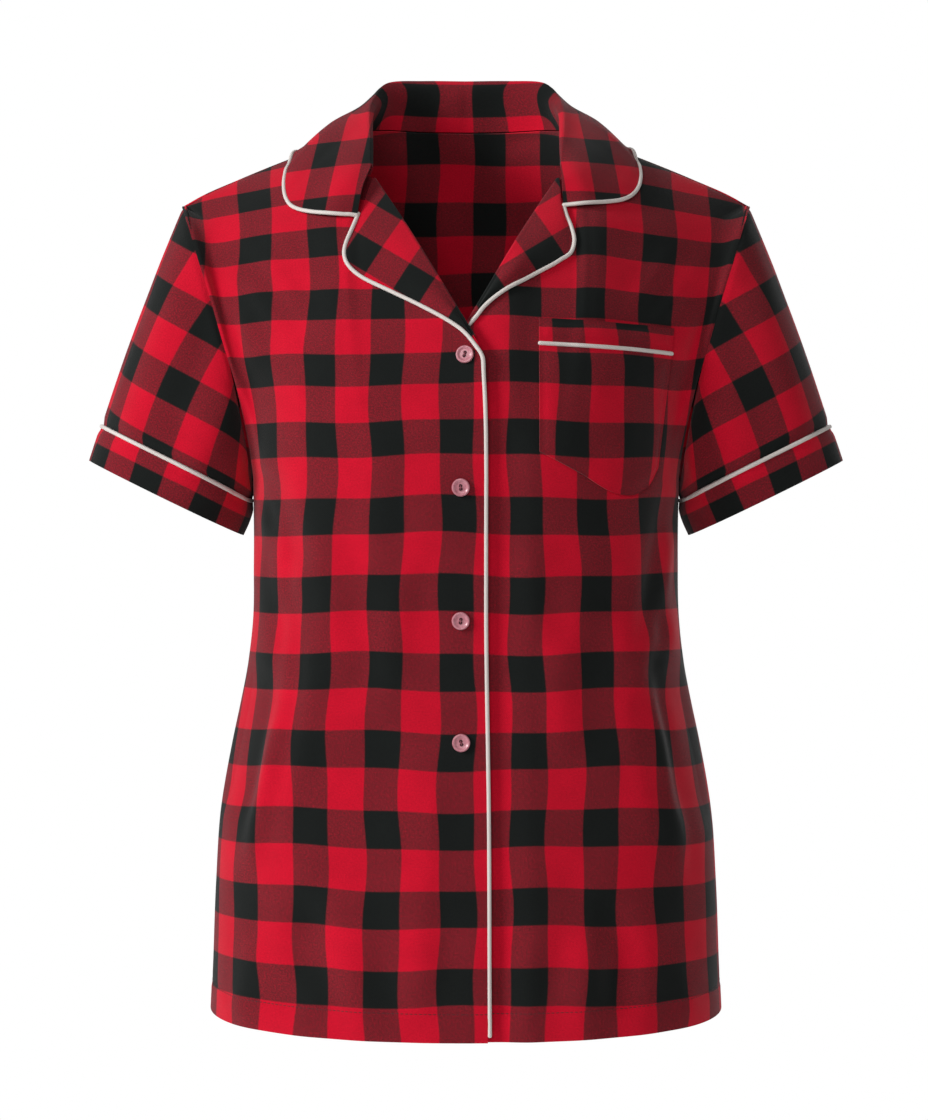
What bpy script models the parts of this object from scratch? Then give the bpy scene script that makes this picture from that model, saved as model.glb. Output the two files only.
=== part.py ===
"""A short-sleeved flannel shirt with a notched collar, filled out as on a wearer but empty.

Every piece of cloth is a wall of even thickness with the form that the filled-out garment has.
The frame is +Z up, +Y to the back and +X to the wearer's left. The origin is the middle of the
neck, level with the side of the neck, where the wearer's shoulders and neck hold the shirt up.

A torso panel is a grid of columns. Each column climbs from the hem, straight up through level
sections as far as the armpit, and then on a cubic curve to the panel's upper edge: the roll of
the lapel, the neck seam, the shoulder seam or the armhole. A column's station says where that is:
whole numbers are the corners between those edges.
"""
import bmesh
import bpy
import numpy as np

# Cloth and seams, metres
WALL = 0.0018
SEAM_GAP = 0.0003
LAY_GAP = 0.0009
EDGE_GAP = 0.0004
PIPING_RADIUS = 0.0018
# Where cloth turns back on itself at a seam, by the cosine between the two sides, and the most
# that a mitre may lengthen a wall's thickness, as the cosine of its lean
TURNED_BACK = -0.2
MITRE_LEAN = 0.6

# Heights in the wearer's frame
ARMPIT_Z = -0.272
HEM_FRONT_Z = -0.669
HEM_SIDE_RISE = 0.010
HEM_BACK_Z = -0.667

# How deep the lower front is let in below the upper one: near the middle, and more at the roll
LAP_SINK = 0.0031
LAP_SINK_ENDS = (0.022, 0.048)
LAP_SINK_MORE = 0.0018
LAP_TILT = 0.25
LAP_SINK_RISE = (-0.270, -0.190)

# Level sections: the superellipse's exponent, and its size at each height
SECTION_POWER = 2.35
SECTION_STEPS = 400
SECTIONS = np.array([
    # height, half width, front depth, back depth
    (-0.690, 0.1905, 0.1265, 0.1195),
    (-0.628, 0.1877, 0.1245, 0.1185),
    (-0.568, 0.1855, 0.1220, 0.1170),
    (-0.509, 0.1814, 0.1190, 0.1140),
    (-0.464, 0.1736, 0.1160, 0.1090),
    (-0.434, 0.1673, 0.1145, 0.1045),
    (-0.405, 0.1617, 0.1140, 0.1000),
    (-0.375, 0.1582, 0.1145, 0.0970),
    (-0.330, 0.1575, 0.1180, 0.0985),
    (ARMPIT_Z, 0.1580, 0.1225, 0.1050),
])

# Corner points of the wearer's left half; the right half is its mirror image
ROLL_FOOT = (-0.0092, -0.1180, -0.1795)
GORGE = (0.0690, -0.0440, -0.0510)
NECK_POINT = (0.0790, 0.0080, -0.0095)
SHOULDER_POINT = (0.2110, 0.0120, -0.0640)
NAPE = (0.0000, 0.0690, -0.0020)

ROLL_LINE = np.array([
    # x, y, z
    ROLL_FOOT,
    (0.0010, -0.1128, -0.1640),
    (0.0235, -0.0980, -0.1262),
    (0.0465, -0.0735, -0.0872),
    GORGE,
])
FRONT_NECK = np.array([
    GORGE,
    (0.0755, -0.0250, -0.0285),
    NECK_POINT,
])
BACK_NECK = np.array([
    NAPE,
    (0.0300, 0.0660, -0.0018),
    (0.0590, 0.0500, -0.0025),
    (0.0745, 0.0300, -0.0055),
    NECK_POINT,
])
SHOULDER = np.array([
    NECK_POINT,
    (0.1200, 0.0110, -0.0240),
    (0.1700, 0.0120, -0.0440),
    (0.2000, 0.0120, -0.0575),
    SHOULDER_POINT,
])
ARMHOLE = np.array([
    # height, x, y of the front half, y of the back half
    (-0.0640, 0.2110, 0.0120, 0.0120),
    (-0.0770, 0.2065, -0.0120, 0.0340),
    (-0.1100, 0.1960, -0.0330, 0.0530),
    (-0.1550, 0.1820, -0.0450, 0.0620),
    (-0.2000, 0.1690, -0.0500, 0.0610),
    (-0.2400, 0.1610, -0.0400, 0.0470),
    (-0.2650, 0.1580, -0.0180, 0.0210),
    (ARMPIT_Z, 0.1580, 0.0000, 0.0000),
])

# Stations: 0 roll foot, 1 gorge or nape, 2 neck point, 3 shoulder point, 4 armpit.
# The share of the way from the middle to the side seam at which each station's column stands
FRONT_BASE = np.array([
    # station, share
    (0.0, -0.0560),
    (1.0, 0.2950),
    (2.0, 0.4550),
    (3.0, 0.6300),
    (3.3, 0.6900),
    (3.6, 0.7700),
    (3.8, 0.8450),
    (3.9, 0.9050),
    (4.0, 1.0000),
])
BACK_BASE = np.array([
    (1.0, 0.0000),
    (2.0, 0.3700),
    (3.0, 0.5800),
    (3.3, 0.6200),
    (3.6, 0.7000),
    (3.8, 0.7900),
    (3.9, 0.8750),
    (4.0, 1.0000),
])
FRONT_COUNTS = (5, 5, 6, 9)
BACK_COUNTS = (0, 6, 6, 9)
PANEL_ROWS = 23
TOP_CROWDING = 0.32
# Finer steps at which normals are taken, and at which other pieces find the cloth under them
NORMAL_STEPS = 4
CLOUD_STEPS = 4

# The direction in which a column arrives at the upper edge, at each station
FRONT_ARRIVAL = np.array([
    # station, x, y, z
    (0.0, 0.10, 0.22, 0.94),
    (0.4, -0.05, 0.35, 0.90),
    (1.0, -0.28, 0.58, 0.76),
    (1.5, -0.40, 0.75, 0.60),
    (2.0, -0.35, 0.92, 0.50),
    (2.5, 0.05, 0.92, 0.50),
    (3.0, 0.45, 0.66, 0.60),
    (3.15, 0.60, 0.35, 0.75),
    (3.4, 0.60, 0.12, 0.80),
    (3.6, 0.50, 0.02, 0.85),
    (3.8, 0.35, 0.00, 0.90),
    (4.0, 0.00, 0.00, 1.00),
])
BACK_ARRIVAL = np.array([
    (1.0, 0.00, -0.35, 0.94),
    (1.5, 0.00, -0.55, 0.80),
    (2.0, -0.15, -0.92, 0.52),
    (2.5, 0.15, -0.90, 0.50),
    (3.0, 0.45, -0.66, 0.60),
    (3.15, 0.60, -0.35, 0.75),
    (3.4, 0.60, -0.12, 0.80),
    (3.6, 0.50, -0.02, 0.85),
    (3.8, 0.35, 0.00, 0.90),
    (4.0, 0.00, 0.00, 1.00),
])

# Sleeves: the cuff's middle, its half widths along the slanting edge and front to back
CUFF_MIDDLE = (0.2235, 0.0040, -0.2835)
CUFF_OUTER = (0.2800, 0.0040, -0.2560)
CUFF_HALF_DEPTH = 0.0490
CUFF_HEIGHT = 0.0270
SLEEVE_BULGE = (0.0030, 0.0085)
SLEEVE_ROWS = 8
CUFF_ROWS = 3
# The cuff's piping sits this far in, and further in a narrow stretch at the underarm
CUFF_PIPING_INSET = (0.0002, 0.0012)
CUFF_INSET_POWER = 12

# The largest folds: the line each follows, how wide it is, and how far it stands out (+) or in
FRONT_FOLDS = (
    # (line of x and z), half width, height
    (((-0.153, -0.262), (-0.128, -0.318), (-0.112, -0.345)), 0.014, -0.0050),
    (((-0.118, -0.285), (-0.098, -0.358), (-0.107, -0.430), (-0.126, -0.480), (-0.150, -0.545)), 0.020, 0.0050),
    (((-0.146, -0.400), (-0.158, -0.450), (-0.168, -0.520)), 0.018, -0.0055),
    (((-0.060, -0.430), (-0.074, -0.520), (-0.080, -0.600)), 0.026, -0.0025),
    (((0.154, -0.280), (0.140, -0.340), (0.128, -0.390)), 0.016, -0.0050),
    (((0.128, -0.330), (0.118, -0.410), (0.136, -0.470), (0.150, -0.560)), 0.021, 0.0045),
    (((0.150, -0.400), (0.158, -0.450), (0.170, -0.530)), 0.017, -0.0060),
    (((0.060, -0.440), (0.078, -0.530), (0.082, -0.610)), 0.026, -0.0025),
    (((-0.118, -0.085), (-0.112, -0.130), (-0.122, -0.180)), 0.026, -0.0035),
    (((0.120, -0.085), (0.116, -0.130), (0.124, -0.180)), 0.026, -0.0035),
)
BACK_FOLDS = (
    (((-0.150, -0.250), (-0.110, -0.320), (-0.070, -0.350)), 0.020, -0.0055),
    (((0.150, -0.245), (0.115, -0.310), (0.080, -0.345)), 0.020, -0.0055),
    (((-0.120, -0.360), (-0.104, -0.450), (-0.128, -0.560)), 0.026, 0.0050),
    (((0.125, -0.350), (0.102, -0.440), (0.122, -0.550)), 0.026, 0.0050),
    (((-0.040, -0.330), (0.000, -0.352), (0.045, -0.335)), 0.024, -0.0045),
    (((-0.030, -0.400), (-0.022, -0.500), (-0.034, -0.610)), 0.034, 0.0035),
)

# How a fold rises and dies out, by the share of the way along its line
FOLD_START = (-0.05, 0.25)
FOLD_END = (0.75, 1.05)
# Where folds are held flat: by station towards the side seam, and by rise towards the upper edge
SIDE_HOLD = (3.75, 4.0)
TOP_HOLD = (0.93, 1.0)

# The collar, at stations from the gorge to the nape
COLLAR_SECTIONS = np.array([
    # station, neck seam x, y, z      roll x, y, z
    (0.0, 0.0698, -0.0452, -0.0494, 0.0690, -0.0485, -0.0420),
    (1.0, 0.0727, -0.0345, -0.0372, 0.0700, -0.0370, -0.0280),
    (2.0, 0.0750, -0.0215, -0.0240, 0.0712, -0.0230, -0.0145),
    (3.0, 0.0770, -0.0070, -0.0150, 0.0722, -0.0050, -0.0015),
    (4.0, 0.0780, 0.0090, -0.0085, 0.0722, 0.0130, 0.0105),
    (5.0, 0.0730, 0.0320, -0.0052, 0.0690, 0.0350, 0.0225),
    (6.0, 0.0580, 0.0505, -0.0022, 0.0585, 0.0500, 0.0340),
    (7.0, 0.0310, 0.0650, -0.0015, 0.0320, 0.0625, 0.0372),
    (8.0, 0.0000, 0.0685, -0.0015, 0.0000, 0.0660, 0.0375),
])
COLLAR_EDGE_RIGHT = np.array([
    # station, x, y, z (the wearer's right, mirrored)
    (0.0, 0.0785, -0.0690, -0.0793),
    (1.0, 0.0985, -0.0674, -0.0774),
    (1.7, 0.1136, -0.0571, -0.0749),
    (2.1, 0.1215, -0.0508, -0.0726),
    (2.5, 0.1275, -0.0454, -0.0690),
    (2.9, 0.1312, -0.0382, -0.0630),
    (3.3, 0.1330, -0.0307, -0.0550),
    (3.8, 0.1333, -0.0200, -0.0450),
    (4.3, 0.1310, -0.0072, -0.0340),
    (4.8, 0.1240, 0.0150, -0.0225),
    (5.4, 0.1130, 0.0350, -0.0290),
    (6.0, 0.0960, 0.0560, -0.0310),
    (7.0, 0.0530, 0.0790, -0.0320),
    (8.0, 0.0000, 0.0860, -0.0325),
])
COLLAR_EDGE_LEFT = np.array([
    # station, x, y, z
    (0.0, 0.0700, -0.0641, -0.0715),
    (1.0, 0.0885, -0.0654, -0.0696),
    (1.7, 0.1040, -0.0569, -0.0677),
    (2.1, 0.1130, -0.0509, -0.0657),
    (2.5, 0.1200, -0.0443, -0.0620),
    (2.9, 0.1247, -0.0366, -0.0565),
    (3.3, 0.1272, -0.0296, -0.0500),
    (3.8, 0.1282, -0.0185, -0.0410),
    (4.3, 0.1262, -0.0069, -0.0315),
    (4.8, 0.1195, 0.0150, -0.0205),
    (5.4, 0.1100, 0.0350, -0.0275),
    (6.0, 0.0950, 0.0560, -0.0305),
    (7.0, 0.0530, 0.0790, -0.0320),
    (8.0, 0.0000, 0.0860, -0.0325),
])
COLLAR_FOOT_GAP = 0.00048
COLLAR_ROLL_SIDE = 0.00324
COLLAR_TOP_SHARE = 0.42
COLLAR_FALL_BULGE = 0.0035
COLLAR_LIFT = 0.0024
COLLAR_RIDGE_LIFT = 0.0036
COLLAR_RIDGE_WIDTH = 0.0140
COLLAR_END_GAP = 0.0012
COLLAR_PIPING_TRIM = 0.0026
COLLAR_ALONG = 23
COLLAR_ACROSS = 11

# The lapels' outer edges, from the roll's foot to the notch, in front view
LAPEL_EDGE_RIGHT = np.array([
    # x, z (the wearer's right, mirrored)
    (-0.0086, -0.1800),
    (-0.0022, -0.1700),
    (0.0103, -0.1608),
    (0.0315, -0.1487),
    (0.0597, -0.1345),
    (0.0790, -0.1238),
    (0.0855, -0.1165),
    (0.0866, -0.1095),
    (0.0820, -0.0960),
    (0.0765, -0.0812),
])
LAPEL_EDGE_LEFT = np.array([
    # x, z
    (0.0060, -0.1575),
    (0.0110, -0.1510),
    (0.0248, -0.1390),
    (0.0462, -0.1264),
    (0.0658, -0.1150),
    (0.0743, -0.1083),
    (0.0762, -0.1015),
    (0.0745, -0.0918),
    (0.0708, -0.0815),
    (0.0692, -0.0750),
])
LAPEL_ALONG = 15
LAPEL_ACROSS = 5
LAPEL_BULGE = 0.0030
# The swell from foot to notch is a part of half a wave: where it starts, and how much of it
LAPEL_SWELL = (0.05, 0.85)
LAPEL_TOP_SHARE = 0.985
LAPEL_RIGHT_FOOT_SHARE = 0.015
LAPEL_LEFT_FOOT_SHARE = 0.150
LAPEL_PIPING_TRIM = 0.0056
FRONT_PIPING_JOIN = 0.0100
FRONT_PIPING_TURN = (0.0120, -0.1219, -0.1876)

# The pocket on the left front, in front view
POCKET_FOOT = np.array([
    # x, z
    (0.0515, -0.2535),
    (0.0800, -0.2685),
    (0.1080, -0.2830),
    (0.1190, -0.2835),
    (0.1290, -0.2775),
    (0.1370, -0.2640),
])
POCKET_TOP = ((0.0515, -0.1585), (0.1500, -0.1625))
POCKET_BAND = 0.0185
POCKET_LIFT = 0.0014
POCKET_COLUMNS = 10
POCKET_ROWS = 7
POCKET_BAND_ROWS = 3

# Buttons down the wearer's right front
BUTTON_RADIUS = 0.0064
BUTTON_PLACES = np.array([
    # x, z
    (-0.0008, -0.1853),
    (-0.0038, -0.2790),
    (-0.0038, -0.3730),
    (-0.0035, -0.4590),
])
BUTTON_PROFILE = np.array([
    # radius, height above the cloth, as shares of the button's radius
    (1.00, 0.10),
    (1.00, 0.26),
    (0.90, 0.36),
    (0.74, 0.32),
    (0.60, 0.20),
    (0.30, 0.20),
])
BUTTON_SIDES = 16
BUTTON_SEAT = 0.0002

# How pieces are laid on others: the flattest cloth that counts as facing the front, by the
# sideways share of its normal, and the passes and longest move that clear a piece of the cloth
FACING_FRONT = -0.05
CLEAR_PASSES = 3
CLEAR_MOST = 0.02

# Meshes: the sharpest smooth edge in degrees, and the direction that a tube's first side avoids
SMOOTH_ANGLE = 50
TUBE_SIDES = 6
TUBE_AVOIDS = (0.31, 0.22, 0.93)

# Finishes: colour (linear), roughness
FLANNEL_RED = ((0.55, 0.012, 0.030), 0.90)
PIPING_WHITE = ((0.72, 0.70, 0.66), 0.55)
BUTTON_PINK = ((0.62, 0.26, 0.30), 0.25)


def clear_scene():
    """Removes whatever the file opened with."""
    for thing in list(bpy.data.objects):
        bpy.data.objects.remove(thing, do_unlink=True)


def smooth(at, knots, values):
    """A cubic through the values, whose slope at each knot comes from its two neighbours."""
    knots = np.asarray(knots, float)
    values = np.asarray(values, float)
    slopes = np.gradient(values, knots, axis=0)
    at = np.clip(np.asarray(at, float), knots[0], knots[-1])
    i = np.clip(np.searchsorted(knots, at, side="right") - 1, 0, len(knots) - 2)
    step = knots[i + 1] - knots[i]
    t = (at - knots[i]) / step
    shape = t.shape + (1,) * (values.ndim - 1)
    t, step = t.reshape(shape), step.reshape(shape)
    start = (1 + 2 * t) * (1 - t) ** 2 * values[i] + t * (1 - t) ** 2 * step * slopes[i]
    end = t * t * (3 - 2 * t) * values[i + 1] + t * t * (t - 1) * step * slopes[i + 1]
    return start + end


def path_knots(points):
    """Each point's share of the way along the points, by straight distance."""
    lengths = np.linalg.norm(np.diff(points, axis=0), axis=1)
    total = np.concatenate([[0.0], np.cumsum(lengths)])
    return total / total[-1]


def along(points, share):
    """The smooth curve through the points, at shares of its length."""
    points = np.asarray(points, float)
    return smooth(share, path_knots(points), points)


def unit(vectors):
    """The vectors at length one."""
    return vectors / np.maximum(np.linalg.norm(vectors, axis=-1, keepdims=True), 1e-12)


def ease(value, low, high):
    """0 below low, 1 above high, and a smooth step between."""
    t = np.clip((value - low) / (high - low), 0, 1)
    return t * t * (3 - 2 * t)


def mirrored(points):
    """The same points on the other side of the body."""
    return points * np.array([-1.0, 1.0, 1.0])


def quarter_angles():
    """The superellipse's angle at even steps of its length, front or back to the side."""
    angle = np.linspace(0, np.pi / 2, SECTION_STEPS)
    half_width, depth = SECTIONS[-1, 1:3]
    x = half_width * np.sin(angle) ** (2 / SECTION_POWER)
    y = depth * np.cos(angle) ** (2 / SECTION_POWER)
    knots = path_knots(np.stack([x, y], axis=1))
    return knots, angle


def section_point(side, share, height):
    """A point of the level section: share 0 in the middle and 1 at the side seam."""
    knots, angles = quarter_angles()
    angle = np.interp(np.abs(share), knots, angles)
    size = smooth(height, SECTIONS[:, 0], SECTIONS[:, 1:])
    power = 2 / SECTION_POWER
    depth = -size[..., 1] if side == "front" else size[..., 2]
    x = np.sign(share) * size[..., 0] * np.sin(angle) ** power
    y = depth * np.clip(np.cos(angle), 0, 1) ** power
    return np.stack([x, y, height * np.ones_like(x)], axis=-1)


def armhole_loop(share):
    """The armhole seam: 0 at the shoulder, down the front to 0.5 at the armpit, up the back."""
    front = ARMHOLE[:, [1, 2, 0]]
    back = ARMHOLE[::-1][:, [1, 3, 0]]
    knots = np.concatenate([path_knots(front) / 2, 0.5 + path_knots(back)[1:] / 2])
    ring = np.concatenate([front, back[1:]])
    knots = np.concatenate([knots[-3:-1] - 1, knots, knots[1:3] + 1])
    ring = np.concatenate([ring[-3:-1], ring, ring[1:3]])
    return smooth(share, knots, ring)


def upper_edge(side, station):
    """The point of a panel's upper edge at each station."""
    point = np.zeros(station.shape + (3,))
    local = np.clip(station - np.floor(station), 0, 1)
    neck = FRONT_NECK if side == "front" else BACK_NECK
    spans = [(0, ROLL_LINE), (1, neck), (2, SHOULDER)]
    for start, line in spans:
        here = (station >= start) & (station < start + 1)
        point[here] = along(line, local[here])
    down = np.clip(station - 3, 0, 1) / 2
    here = station >= 3
    point[here] = armhole_loop(down[here] if side == "front" else 1 - down[here])
    return point


def panel_points(side, station, rise):
    """Points of a torso panel: rise 0 at the hem and 1 at the upper edge."""
    base_table = FRONT_BASE if side == "front" else BACK_BASE
    arrival_table = FRONT_ARRIVAL if side == "front" else BACK_ARRIVAL
    hem_middle = HEM_FRONT_Z if side == "front" else HEM_BACK_Z
    share = np.interp(station, base_table[:, 0], base_table[:, 1])
    top = upper_edge(side, station)
    base = section_point(side, share, np.full_like(station, ARMPIT_Z))
    arrival = smooth(station, arrival_table[:, 0], arrival_table[:, 1:])
    hem = hem_middle + HEM_SIDE_RISE * np.abs(share) ** 2
    lower = ARMPIT_Z - hem
    upper = np.maximum(np.linalg.norm(top - base, axis=-1), 1e-6)
    climbed = rise[:, None] * (lower + upper)
    height = np.minimum(hem + climbed, ARMPIT_Z)
    below = section_point(side, np.broadcast_to(share, height.shape), height)
    t = np.clip((climbed - lower) / upper, 0, 1)[..., None]
    reach = upper[:, None]
    start = (1 + 2 * t) * (1 - t) ** 2 * base + t * (1 - t) ** 2 * reach * np.array([0.0, 0.0, 1.0])
    end = t * t * (3 - 2 * t) * top + t * t * (t - 1) * reach * arrival
    return np.where(t > 0, start + end, below)


def grid_normals(points):
    """Unit normals of a grid of rows and columns, by the cross product of its two directions."""
    across = np.gradient(points, axis=1)
    up = np.gradient(points, axis=0)
    return unit(np.cross(across, up))


def distance_to_line(x, z, line):
    """The distance to a bent line in front view, and the share of the way along it."""
    line = np.asarray(line)
    knots = path_knots(line)
    best = np.full(x.shape, np.inf)
    where = np.zeros(x.shape)
    for (ax, az), (bx, bz), low, high in zip(line[:-1], line[1:], knots[:-1], knots[1:]):
        dx, dz = bx - ax, bz - az
        t = np.clip(((x - ax) * dx + (z - az) * dz) / (dx * dx + dz * dz), 0, 1)
        gap = np.hypot(x - ax - t * dx, z - az - t * dz)
        nearer = gap < best
        best = np.where(nearer, gap, best)
        where = np.where(nearer, low + t * (high - low), where)
    return best, where


def fold_height(points, folds):
    """How far the folds lift the cloth: a soft hump across each line, fading at its ends."""
    x, z = points[..., 0], points[..., 2]
    lift = np.zeros(x.shape)
    for line, half_width, height in folds:
        gap, where = distance_to_line(x, z, line)
        fade = ease(where, *FOLD_START) * (1 - ease(where, *FOLD_END))
        lift += height * fade * np.exp(-((gap / half_width) ** 2))
    return lift


def stations_of(counts):
    """Stations at even steps within each span between two corners."""
    spans = [start + np.arange(count) / count for start, count in enumerate(counts) if count]
    return np.concatenate(spans + [[4.0]])


def panel_rises():
    """The rows' rises, which lie closer together towards the upper edge."""
    even = np.linspace(0, 1, PANEL_ROWS * NORMAL_STEPS + 1)
    return even * (1 + TOP_CROWDING * (1 - even))


def front_panel(hand):
    """The outer points and normals of one front, hand -1 on the wearer's right and +1 on the left."""
    station = stations_of([count * NORMAL_STEPS for count in FRONT_COUNTS])
    rise = panel_rises()
    points = panel_points("front", station, rise)
    normals = grid_normals(points)
    if hand > 0:
        upper = ease(points[..., 2], *LAP_SINK_RISE)
        sink = LAP_SINK + (LAP_SINK_MORE - LAP_TILT * points[..., 0]) * upper
        points[..., 1] += sink * (1 - ease(points[..., 0], *LAP_SINK_ENDS))
    placed = points * np.array([hand, 1.0, 1.0])
    lift = fold_height(placed, FRONT_FOLDS) * hold_seams(station, rise)
    points = points + normals * lift[..., None]
    normals = grid_normals(points)
    step = NORMAL_STEPS
    return station[::step], points[::step, ::step], normals[::step, ::step]


def hold_seams(station, rise):
    """1 inside a panel and 0 at its side seam and upper edge, where folds die out."""
    side = 1 - ease(station, *SIDE_HOLD)
    top = 1 - ease(rise, *TOP_HOLD)
    return top[:, None] * side[None, :]


def back_panel():
    """The outer points and normals of the whole back, and the stations of its left half."""
    station = stations_of([count * NORMAL_STEPS for count in BACK_COUNTS])
    rise = panel_rises()
    half = panel_points("back", station, rise)
    full = np.concatenate([mirrored(half)[:, :0:-1], half], axis=1)
    hold = hold_seams(station, rise)
    hold = np.concatenate([hold[:, :0:-1], hold], axis=1)
    lift = fold_height(full, BACK_FOLDS) * hold
    full = full - grid_normals(full) * lift[..., None]
    normals = -grid_normals(full)
    step = NORMAL_STEPS
    return station[::step], full[::step, ::step], normals[::step, ::step]


def sleeve_points(share, reach):
    """Points of the left sleeve: share round it from the shoulder, reach 0 at the armhole to 1."""
    seam = armhole_loop(share)
    middle, outer = np.array(CUFF_MIDDLE), np.array(CUFF_OUTER)
    angle = (2 * np.pi * share)[:, None]
    ring = middle + np.cos(angle) * (outer - middle) + np.sin(angle) * np.array([0, -CUFF_HALF_DEPTH, 0])
    away = unit(ring - middle)
    bulge = SLEEVE_BULGE[0] + (SLEEVE_BULGE[1] - SLEEVE_BULGE[0]) * np.sin(angle) ** 2
    t = np.asarray(reach)[..., None]
    return (1 - t) * seam + t * ring + np.sin(np.pi * t) * bulge * away


def inward_of_edge(edge, beside, normals, closed=False):
    """Unit directions in the surface, square to its edge, towards the points beside the edge."""
    if closed:
        tangent = np.roll(edge, -1, axis=0) - np.roll(edge, 1, axis=0)
    else:
        tangent = np.gradient(edge, axis=0)
    square = unit(np.cross(tangent, normals))
    return square * np.sign(np.sum(square * (beside - edge)))


def pull_edge(outer, inner, normals, row=None, column=None, gap=SEAM_GAP, closed=False):
    """Draws one edge of a wall back into its own surface, which opens the seam there."""
    if row is not None:
        step = 1 if row == 0 else -1
        pull = gap * inward_of_edge(outer[row], outer[row + step], normals[row], closed)
        outer[row] += pull
        inner[row] += pull
    else:
        step = 1 if column == 0 else -1
        pull = gap * inward_of_edge(outer[:, column], outer[:, column + step], normals[:, column])
        outer[:, column] += pull
        inner[:, column] += pull


def refined(grid, parts):
    """The grid with this many parts to each cell, straight between its points."""
    for axis in (0, 1):
        count = grid.shape[axis] - 1
        at = np.arange(count * parts + 1) / parts
        low = np.minimum(at.astype(int), count - 1)
        shape = [1, 1, 1]
        shape[axis] = len(at)
        t = (at - low).reshape(shape)
        grid = np.take(grid, low, axis=axis) * (1 - t) + np.take(grid, low + 1, axis=axis) * t
    return grid


def mesh_object(name, vertices, faces, finish):
    """A smooth-shaded object of one closed mesh, with its own material."""
    mesh = bpy.data.meshes.new(name)
    mesh.from_pydata([tuple(v) for v in vertices], [], faces)
    tidy = bmesh.new()
    tidy.from_mesh(mesh)
    bmesh.ops.recalc_face_normals(tidy, faces=tidy.faces)
    tidy.to_mesh(mesh)
    tidy.free()
    mesh.shade_smooth()
    mesh.set_sharp_from_angle(angle=np.radians(SMOOTH_ANGLE))
    colour, roughness = finish
    material = bpy.data.materials.new(name)
    material.use_nodes = True
    shader = material.node_tree.nodes["Principled BSDF"]
    shader.inputs["Base Color"].default_value = (*colour, 1.0)
    shader.inputs["Roughness"].default_value = roughness
    shader.inputs["Metallic"].default_value = 0.0
    mesh.materials.append(material)
    thing = bpy.data.objects.new(name, mesh)
    bpy.context.scene.collection.objects.link(thing)


def wall(name, outer, inner, closed=False):
    """A closed wall between two grids of points; closed joins its last column to its first."""
    rows, columns = outer.shape[:2]
    count = rows * columns
    at = np.arange(count).reshape(rows, columns)
    if closed:
        at = np.concatenate([at, at[:, :1]], axis=1)
    flat = outer.reshape(-1, 3)
    faces = []
    for i in range(at.shape[0] - 1):
        for j in range(at.shape[1] - 1):
            a, b, c, d = at[i, j], at[i, j + 1], at[i + 1, j + 1], at[i + 1, j]
            if np.linalg.norm(flat[a] - flat[c]) < np.linalg.norm(flat[b] - flat[d]):
                faces += [(a, b, c), (a, c, d)]
            else:
                faces += [(a, b, d), (b, c, d)]
    faces += [tuple(corner + count for corner in face[::-1]) for face in faces]
    if closed:
        rims = [at[0], at[-1][::-1]]
    else:
        rims = [np.concatenate([at[0], at[1:, -1], at[-1, -2::-1], at[-2::-1, 0]])]
    for line in rims:
        faces += [(b, a, a + count, b + count) for a, b in zip(line[:-1], line[1:])]
    vertices = np.concatenate([outer.reshape(-1, 3), inner.reshape(-1, 3)])
    faces = [tuple(int(corner) for corner in face) for face in faces]
    mesh_object(name, vertices, faces, FLANNEL_RED)


def piping(name, path, ring=False):
    """A round cord along a path of points; ring joins its end to its start."""
    sides = TUBE_SIDES
    if ring:
        ahead = np.roll(path, -1, axis=0) - np.roll(path, 1, axis=0)
    else:
        ahead = np.gradient(path, axis=0)
    ahead = unit(ahead)
    side = unit(np.cross(ahead, np.array(TUBE_AVOIDS)))
    up = np.cross(ahead, side)
    angle = np.linspace(0, 2 * np.pi, sides, endpoint=False)
    around = side[:, None] * np.cos(angle)[None, :, None] + up[:, None] * np.sin(angle)[None, :, None]
    points = path[:, None] + PIPING_RADIUS * around
    rows = len(path)
    at = np.arange(rows * sides).reshape(rows, sides)
    if ring:
        at = np.concatenate([at, at[:1]])
    faces = [
        (at[i, j], at[i, (j + 1) % sides], at[i + 1, (j + 1) % sides], at[i + 1, j])
        for i in range(len(at) - 1)
        for j in range(sides)
    ]
    if not ring:
        faces += [tuple(at[0][::-1]), tuple(at[-1])]
    faces = [tuple(int(corner) for corner in face) for face in faces]
    mesh_object(name, points.reshape(-1, 3), faces, PIPING_WHITE)


def seam_offset(own, *others):
    """The direction in which a wall's thickness runs at a seam, mitred with the cloth it meets.

    It is the mean of the normals, long enough to keep the thickness. Where the two pieces fold
    back on each other their thicknesses part, and the wall keeps its own normal.
    """
    total = own + sum(others)
    mean = unit(total)
    cosine = np.sum(own * mean, axis=-1, keepdims=True)
    facing = np.min([np.sum(own * other, axis=-1, keepdims=True) for other in others], axis=0)
    return np.where(facing > TURNED_BACK, mean / np.clip(cosine, MITRE_LEAN, 1.0), own)


def ring_normals(points):
    """Outward normals of a grid whose columns close into a ring."""
    padded = np.concatenate([points[:, -1:], points, points[:, :1]], axis=1)
    return grid_normals(padded)[:, 1:-1]


def sleeve_grids(station):
    """The outer points of the left sleeve and cuff, with columns at the panel's armhole stations."""
    down = (station[station >= 3] - 3) / 2
    share = np.concatenate([down, 1 - down[-2:0:-1]])
    length = np.linalg.norm(sleeve_points(share, np.ones((1, len(share))))[0]
                            - armhole_loop(share), axis=1)
    seam = 1 - CUFF_HEIGHT / length
    half_groove = (PIPING_RADIUS + EDGE_GAP) / length
    rows = np.linspace(0, 1, SLEEVE_ROWS)[:, None]
    sleeve = sleeve_points(share, rows * (seam - half_groove))
    groove = sleeve_points(share, seam[None, :])
    cuff_start = seam + half_groove
    rows = np.linspace(0, 1, CUFF_ROWS)[:, None]
    cuff = sleeve_points(share, cuff_start + rows * (1 - cuff_start))
    return sleeve, groove, cuff


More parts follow.
